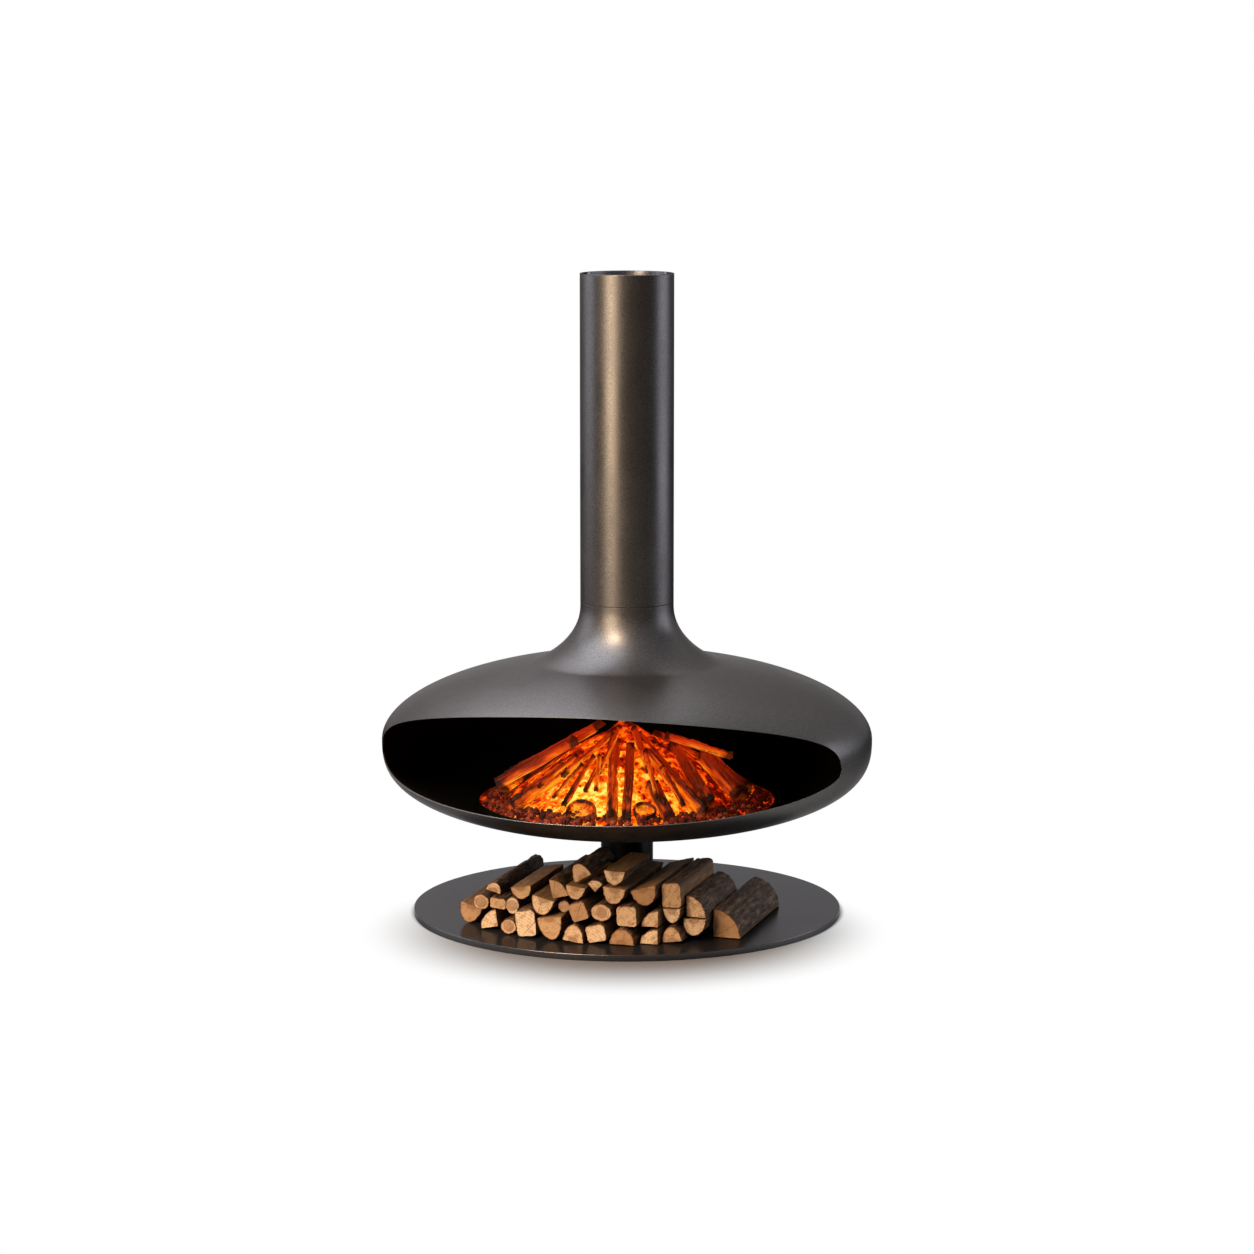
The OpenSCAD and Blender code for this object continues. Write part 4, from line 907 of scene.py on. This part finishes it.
def top_over(laid, place):
    """Height of a laid piece's top, or of the cut end past its top, over a place; 0 out of its reach."""
    foot, tip, line = laid
    run = tip - foot
    reach, length, rise = math.hypot(run[0], run[1]), np.linalg.norm(run), max(run[2], 1e-5)
    way = place - foot[:2]
    ahead, beside = way @ run[:2] / reach, (way[1] * run[0] - way[0] * run[1]) / reach
    tops = crossings(line, beside)
    if not tops or ahead < -max(tops) * rise / length or ahead > reach:
        return 0
    on_piece = rise * ahead / reach + max(tops) * length / reach
    return foot[2] + min(on_piece, rise + (reach - ahead) * reach / rise)


def lay_on(numbers, below):
    """Foot, tip and outline of a piece laid over the heap and the pieces below it, as low as they let it."""
    foot, tip = np.array(numbers[:2]) * mm, np.array(numbers[2:4]) * mm
    way = (tip - foot) / np.linalg.norm(tip - foot)
    aside = np.array([-way[1], way[0]]) * numbers[4] * mm / 2

    def heap_top(place):
        return max([bed_height(np.linalg.norm(place))] + [top_over(laid, place) for laid in below])

    low, high = heap_top(foot), heap_top(tip)
    lift = max(heap_top(foot + share * (tip - foot) + side * aside) - low - share * (high - low)
               for share in np.linspace(0, 1, 17) for side in (-1, 0, 1)) + fire_seat
    return (np.array([*foot, low + lift]), np.array([*tip, high + lift]),
            split_outline(numbers[6], numbers[4] * mm, numbers[5] * mm)[0])


def laid_frame(laid):
    """Origin, side, length direction and up of a laid piece, and its length."""
    run = laid[1] - laid[0]
    length = np.linalg.norm(run)
    side = np.array([-run[1], run[0], 0]) / math.hypot(run[0], run[1])
    return (laid[0], side, run / length, np.cross(run / length, side)), length


# Wood alight: fibre that glows orange, char in long checks, white-hot nowhere.
def burning_finish():
    """Char from the ends inwards and in checks along the fibre, which is 4 mm wide, several times the real
    one, so that it shows. The glow is strongest low on a piece and near the hot middle of the heap: partly
    the wood's own heat, partly painted light from the embers below and beside it."""
    wood, tree, shader = finish_of("burning_hardwood", Roughness=0.7, Specular_IOR_Level=0.3,
                                   Emission_Strength=0.95)
    grain = add(tree, "Attribute", attribute_name="wood").outputs["Vector"]
    mark = add(tree, "Attribute", attribute_name="mark").outputs["Vector"]
    end, low, tone = add(tree, "SeparateXYZ", mark).outputs
    shift = add(tree, "CombineXYZ", tone, tone, tone)
    own = add(tree, "VectorMath", grain, shift, operation="ADD")
    long_way = add(tree, "VectorMath", own, (1, 1, 0.05), operation="MULTIPLY")
    fibre = add(tree, "TexNoise", long_way, Scale=1 / (4 * mm), Detail=4.0)
    patch = add(tree, "TexNoise", own, Scale=1 / (24 * mm), Detail=3.0)
    char = add(tree, "Math", end, patch, operation="ADD")
    char = add(tree, "MapRange", char, 0.6, 0.8, 0.0, 1.0)
    check = add(tree, "MapRange", fibre, 0.34, 0.41, 0.85, 0.0)
    dark = add(tree, "Math", char, check, operation="MAXIMUM")
    brown = add(tree, "ValToRGB", fibre, ramp=[(0.3, "#1c0b06"), (0.5, "#40190b"), (0.7, "#613016")])
    colour = add(tree, "Mix", dark, data_type="RGBA", n6=brown, n7="#1c0f0a")
    place = add(tree, "TexCoord").outputs["Object"]
    # Glow near the heap's hot middle: partly the wood's own heat, partly painted light from the embers.
    hottest_at = (-0.03, -0.18, bed_z + 0.04)
    near = add(tree, "VectorMath", place, hottest_at, operation="DISTANCE")
    near = add(tree, "MapRange", near, 0.04, 0.26, 0.14, -0.12)
    flare_way = add(tree, "VectorMath", own, (1, 1, 0.25), operation="MULTIPLY")
    flare = add(tree, "TexNoise", flare_way, Scale=1 / (17 * mm), Detail=4.0)
    flare = add(tree, "MapRange", flare, 0.36, 0.64, -0.36, 0.38)
    heat = add(tree, "Math", fibre, 0.45, near, operation="MULTIPLY_ADD")
    heat = add(tree, "Math", heat, flare, operation="ADD")
    own_heat = add(tree, "MapRange", tone, 0.0, 1.0, -0.12, 0.12)
    heat = add(tree, "Math", heat, own_heat, operation="ADD")
    # The second mark: on the pieces, glow low down next to the heap, partly painted light from the embers
    # below; on the slices, the heat of the face.
    heat = add(tree, "Math", heat, low, operation="ADD")
    glow = add(tree, "ValToRGB", heat, ramp=[
        (0.0, "#160602"), (0.2, "#6e1a03"), (0.42, "#c43d05"), (0.68, "#f8690a"), (0.98, "#ffa922")])
    height = add(tree, "SeparateXYZ", place).outputs[2]
    glow = stain(tree, glow, "#d42c03", height, bed_z + 0.05, bed_z + 0.14, 0.0, 0.6)
    cold = add(tree, "Math", dark, 0.88, operation="MULTIPLY")
    glow = add(tree, "Mix", cold, data_type="RGBA", n6=glow, n7="#0c0301")
    bump = add(tree, "Bump", Height=fibre, Strength=0.8, Distance=2 * mm)
    feed(tree, shader, Base_Color=colour, Emission_Color=glow, Normal=bump)
    return wood


burning_hardwood = burning_finish()


def burning_marks(part, length):
    """Marks for the fire: char over the first 16 and the last 12 percent of the length, and heat that falls
    over the lower three quarters of the piece's height, from next to the heap: partly the wood's own glow,
    partly painted light from the embers below."""
    points, faces, wood, mark = part
    share = wood[:, 2] / length
    ends = 0.5 * np.maximum(np.clip(1 - share / 0.16, 0, 1), np.clip(1 - (1 - share) / 0.12, 0, 1))
    rise = wood[:, 1] - wood[:, 1].min()
    low = 0.78 * np.clip(1 - rise / (0.75 * rise.max()), 0, 1) - 0.17
    return points, faces, wood, np.stack([ends, low, mark[:, 2]], -1)


fire_rng = np.random.default_rng(31)
# The pieces are laid by the size in the list, and drawn stouter, as their deep roughness draws them in.
stout = 1.28
laid_fire = []
for row, logs in BURNING.items():
    parts = []
    for numbers in logs:
        laid_fire.append(lay_on(numbers, laid_fire))
        place, length = laid_frame(laid_fire[-1])
        outline, pith, bark = split_outline(numbers[6], numbers[4] * mm, numbers[5] * mm)
        outline, pith = outline * stout, np.array(pith) * stout
        part = billet(fire_rng, outline, pith, bark, length, place, around=48, stations=44, depth=3.0,
                      slant=0.3)
        parts.append(burning_marks(part, length))
    fire = gather(row + "_burning", parts, [burning_hardwood], sharp=45)
    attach(fire, hood_body)
    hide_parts(row)

# ---------- Burning slices ----------
# Two rounds cut across a branch, lying on the slope at the foot of the heap and burnt hollow: a darker rim
# of bark round a glowing face.

# Each slice: near point x, y, point uphill x, y, diameter and thickness, in millimetres.
SLICES = [(-41, -249, -31, -188, 62, 15), (88, -224, 71, -182, 46, 14)]
# Its rings from the middle of the underside to that of the face, as shares of radius and thickness.
SLICE_RINGS = [(0, 0), (0.5, 0), (0.88, 0), (0.97, 0.1), (1, 0.5), (0.985, 0.9), (0.94, 1), (0.88, 0.97),
               (0.83, 0.8), (0.78, 0.45), (0.5, 0.34), (0.25, 0.4), (0, 0.46)]


def slice_part(rng, place, diameter, thickness):
    """A flat round out of true by 5 percent, its face dished between rim and middle."""
    around = 48
    turn = np.arange(around) * 2 * math.pi / around
    share, height = np.array(SLICE_RINGS).T[..., None]
    height = height * thickness
    radius = diameter / 2 * share * (0.95 + 0.05 * np.cos(3 * turn + rng.random() * 6)[None])
    origin, side, ahead, up = place
    centre = origin + ahead * diameter / 2 + up * fire_seat
    points = (centre + (radius * np.cos(turn))[..., None] * ahead + (radius * np.sin(turn))[..., None] * side
              + (height + 0 * turn)[..., None] * up)
    wood = np.stack([radius * np.cos(turn), radius * np.sin(turn), height + 0 * turn], -1)
    rim_char, rim_heat, face_heat = 0.12, -0.2, 0.38
    rim = np.where((share > 0.8) & (height > 0), rim_char, 0.0) + 0 * turn
    mark = np.stack([rim, np.where(rim > 0, rim_heat, face_heat), np.full(rim.shape, rng.random())], -1)
    return points.reshape(-1, 3), grid_faces(len(share), around), wood.reshape(-1, 3), mark.reshape(-1, 3)


rounds = [slice_part(fire_rng, laid_frame(lay_on((*numbers, 1), []))[0], numbers[4] * mm, numbers[5] * mm)
          for numbers in SLICES]
slices = gather("burning_slices", rounds, [burning_hardwood], sharp=60)
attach(slices, hood_body)
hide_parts("wood_slices")

# ---------- Ember tray ----------
# A spun tray of 3 mm steel with an upright rim, black from use. It lifts off the hearth plate with the
# embers in it.

# Steel blackened by the fire: smoother than the soot paint, so that its rim mirrors a thin line of glow.
hearth_black = matt_black("hearth_black", "#0d0d0d", 0.26, gloss=0.6)
tray_low, tray_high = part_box("ember_tray")
tray_t = 3 * mm
tray_ease = 0.8 * mm
tray_in = tray_high.x - tray_t
tray = turned("ember_dish", [
    (0, tray_low.z), (tray_high.x, tray_low.z), (tray_high.x, tray_high.z), (tray_in, tray_high.z),
    (tray_in, tray_low.z + tray_t), (0, tray_low.z + tray_t)], tray_ease, [hearth_black])
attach(tray, hood_body)
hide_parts("ember_tray")

# ---------- Fittings ----------
# What the construction already has in its true shape: hearth, neck, liner, damper, swivel and screws. Each
# keeps its solid and gets the finish of the real material.


def turned_metal(name, colour, rough, scale):
    """Bare or plated metal with tool marks as a stretched noise, fine across and long along Z."""
    metal, tree, shader = finish_of(name, Metallic=1.0)
    place = add(tree, "TexCoord").outputs["Object"]
    drawn = add(tree, "VectorMath", place, (1, 1, 0.12), operation="MULTIPLY")
    lines = add(tree, "TexNoise", drawn, Scale=1 / scale, Detail=3.0)
    gloss = add(tree, "MapRange", lines, 0.3, 0.7, rough - 0.07, rough + 0.09)
    shade = "#%02x%02x%02x" % tuple(int(int(colour[i:i + 2], 16) * 0.82) for i in (1, 3, 5))
    tint = add(tree, "Mix", lines, data_type="RGBA", n6=shade, n7=colour)
    bump = add(tree, "Bump", Height=lines, Strength=0.1, Distance=0.1 * mm)
    feed(tree, shader, Base_Color=tint, Roughness=gloss, Normal=bump)
    return metal


def fibrous(name, colours, rough, scale):
    """Board, rope or oiled wood: three near tones in flakes, each with a height of its own."""
    made, tree, shader = finish_of(name, Roughness=rough, Specular_IOR_Level=0.2)
    place = add(tree, "TexCoord").outputs["Object"]
    flake = add(tree, "TexVoronoi", place, Scale=1 / scale).outputs["Color"]
    share = add(tree, "SeparateXYZ", flake)
    tint = add(tree, "ValToRGB", share, ramp=[(0.0, colours[0]), (0.5, colours[1]), (1.0, colours[2])])
    bump = add(tree, "Bump", Height=share, Strength=0.4, Distance=0.5 * mm)
    feed(tree, shader, Base_Color=tint, Normal=bump)
    return made


# Metals: a grey sheen streaked along Z, sharp on the ground steel, soft on the zinc, brown on the bronze.
# Mineral board, glass rope and oiled beech: three near tones in flecks, and no sheen but the beech's.
stainless = turned_metal("drawn_stainless", "#a3a5a8", 0.3, 1.5 * mm)
zinc = turned_metal("zinc_plated_steel", "#9a9da1", 0.38, 3 * mm)
ground_steel = turned_metal("ground_bearing_steel", "#a8aaad", 0.2, 1 * mm)
bronze = turned_metal("cast_bronze", "#9a7840", 0.4, 4 * mm)
board = fibrous("exfoliated_board", ("#a8926a", "#c2ad84", "#d2c19b"), 0.95, 2.5 * mm)
rope = fibrous("glass_rope", ("#b9b4a6", "#d0cbbd", "#ddd9cd"), 0.95, 1.5 * mm)
beech = fibrous("oiled_beech", ("#7a4d2a", "#8a5a33", "#94633a"), 0.45, 3 * mm)
FITTINGS = [
    (hearth_black, "inside_black", ["hearth_plate", "bowl_hub"]),
    (inside_black, "inside_black", ["seam_band", "neck_collar", "throat_tube", "damper_flap",
                                    "damper_lever"]),
    (stainless, "liner_steel", ["flue_liner", "flue_spacers"]),
    (zinc, "zinc_steel", ["foot_screws", "hub_screws", "spindle_washer", "spindle_nut", "damper_screws",
                          "damper_spindle", "spindle"]),
    (ground_steel, "bearing_steel", ["lower_race", "upper_race", "bearing_balls"]),
    (bronze, "bronze", ["spindle_bush", "bearing_cage", "damper_bushes"]),
    (board, "vermiculite", ["insulation_board"]),
    (rope, "rope_seal", ["flue_seal"]),
    (beech, "knob_wood", ["damper_knob"])]
for material, slot, nodes in FITTINGS:
    for node in nodes:
        fitting = frame["nodes"][node]
        fitting.data.materials.clear()
        fitting.data.materials.append(material)

# ---------- Floor and light ----------
# Two warm lamps to the left of the camera, and four weak cool ones at the left, right, back and top, in a
# dim surround. The floor is painted grey round the object, as painted shade over its real shadow, and runs
# out to the white that the camera sees behind.


def soft_box(name, turn, height, distance, wide, tall, power, colour, aim=0.6):
    """A rectangular lamp at a turn about the axis (0 at the mouth, + to its right), at a height and a
    distance from it, aimed at a height of the axis; power in watts."""
    lamp = bpy.data.lights.new(name, "AREA")
    lamp.shape = "RECTANGLE"
    lamp.size, lamp.size_y = wide, tall
    lamp.energy = power
    lamp.color = linear(colour)[:3]
    made = bpy.data.objects.new(name, lamp)
    turn = math.radians(turn)
    made.location = (distance * math.sin(turn), -distance * math.cos(turn), height)
    made.rotation_euler = (Vector((0, 0, aim)) - made.location).to_track_quat("-Z", "Y").to_euler()
    bpy.context.scene.collection.objects.link(made)


# Name, turn, height, distance, width, tallness, power and colour.
soft_box("key", -26, 1.75, 3.2, 1.45, 2.9, 136, "#ffdebc", aim=1.2)
soft_box("key_high", -22, 3.3, 2.2, 0.9, 1.0, 108, "#ffdfbf")
soft_box("side", -92, 1.5, 3.2, 2.0, 2.2, 31, "#e0e3f4")
soft_box("fill", 112, 0.95, 3.2, 2.0, 1.8, 28, "#eae9f6")
soft_box("back", -150, 3.1, 2.2, 2.4, 1.8, 40, "#e8e6f2")
soft_box("top", -78, 3.2, 1.3, 2.4, 2.4, 75, "#e4e9f6")

world = bpy.data.worlds.new("surround")
bpy.context.scene.world = world
world.use_nodes = True
world_tree = world.node_tree
world_tree.nodes.clear()
look = add(world_tree, "TexCoord").outputs["Generated"]
way_up = add(world_tree, "SeparateXYZ", look).outputs[2]
sky = add(world_tree, "ValToRGB", way_up, ramp=[
    (0.0, "#2a2a2c"), (0.12, "#343538"), (0.5, "#7d8089"), (1.0, "#9a9da6")])
# To the camera the surround is white, and so is what the object mirrors of it from behind.
dim = add(world_tree, "Background", sky, 1.0)
white = add(world_tree, "Background", "#ffffff", 1.0)
ray = add(world_tree, "LightPath").outputs
backwards = (-0.225, 0.974, 0)
behind = add(world_tree, "VectorMath", look, backwards, operation="DOT_PRODUCT")
behind = add(world_tree, "MapRange", behind, 0.2, 0.9, 0.0, 1.0)
behind = add(world_tree, "Math", behind, ray["Is Glossy Ray"], operation="MULTIPLY")
shown = add(world_tree, "Math", behind, ray["Is Camera Ray"], operation="MAXIMUM")
both = add(world_tree, "MixShader", shown, dim, white)
add(world_tree, "OutputWorld", Surface=both)

floor_r = 20.0
floor_mesh = bpy.data.meshes.new("floor")
floor_mesh.from_pydata([(x * floor_r, y * floor_r, 0) for x, y in ((-1, -1), (1, -1), (1, 1), (-1, 1))],
                       [], [(0, 1, 2, 3)])
floor = bpy.data.objects.new("floor", floor_mesh)
bpy.context.scene.collection.objects.link(floor)
# Matt paper. To the camera it runs from grey, in the shadow before the plate and in a thin line round the
# plate's rim, to pure white; the same to what mirrors it, within 1 to 2 m of the axis. The grey is painted
# shade laid where the real shadow falls, and the lamps shade it further. It gives back little of any other
# light: to other rays it is a darker grey still, so that the bowl's underside mirrors it dark, painted shade
# in that reflection.
floor_paint, floor_tree, floor_shader = finish_of("pale_floor_with_painted_shade", Roughness=0.9, Specular_IOR_Level=0.1)
floor_out = floor_tree.nodes["Material Output"]
floor_ray = add(floor_tree, "LightPath").outputs
seen = floor_ray["Is Camera Ray"]
floor_colour = add(floor_tree, "Mix", seen, data_type="RGBA", n6="#343434", n7="#6e6e6e")
feed(floor_tree, floor_shader, Base_Color=floor_colour)
pure_white = add(floor_tree, "Emission", "#ffffff", 1.0)
place = add(floor_tree, "TexCoord").outputs["Object"]
# Painted shade: within 0.26 to 0.51 m of this point, in front of the plate, the floor keeps its grey instead
# of white.
shadow_at = (0.03, -0.16, 0)
shadow_way = add(floor_tree, "VectorMath", place, shadow_at, operation="DISTANCE")
fade = add(floor_tree, "MapRange", shadow_way, 0.26, 0.51, 0.0, 1.0, interpolation_type="SMOOTHSTEP")
# Painted shade: a thin grey line round the plate's rim, from 5 mm inside it to 14 mm outside it.
rim_way = add(floor_tree, "VectorMath", place, operation="LENGTH")
rim_fade = add(floor_tree, "MapRange", rim_way, plate_high.x - 5 * mm, plate_high.x + 14 * mm, 0.0, 1.0,
               interpolation_type="SMOOTHSTEP")
fade = add(floor_tree, "Math", fade, rim_fade, operation="MINIMUM")
mirrored = add(floor_tree, "MapRange", rim_way, 1.0, 2.0, 1.0, 0.0)
mirrored = add(floor_tree, "Math", mirrored, floor_ray["Is Glossy Ray"], operation="MULTIPLY")
bright = add(floor_tree, "Math", mirrored, seen, operation="MAXIMUM")
fade = add(floor_tree, "Math", fade, bright, operation="MULTIPLY")
mixed = add(floor_tree, "MixShader", fade, floor_shader, pure_white)
feed(floor_tree, floor_out, Surface=mixed)
floor_mesh.materials.append(floor_paint)
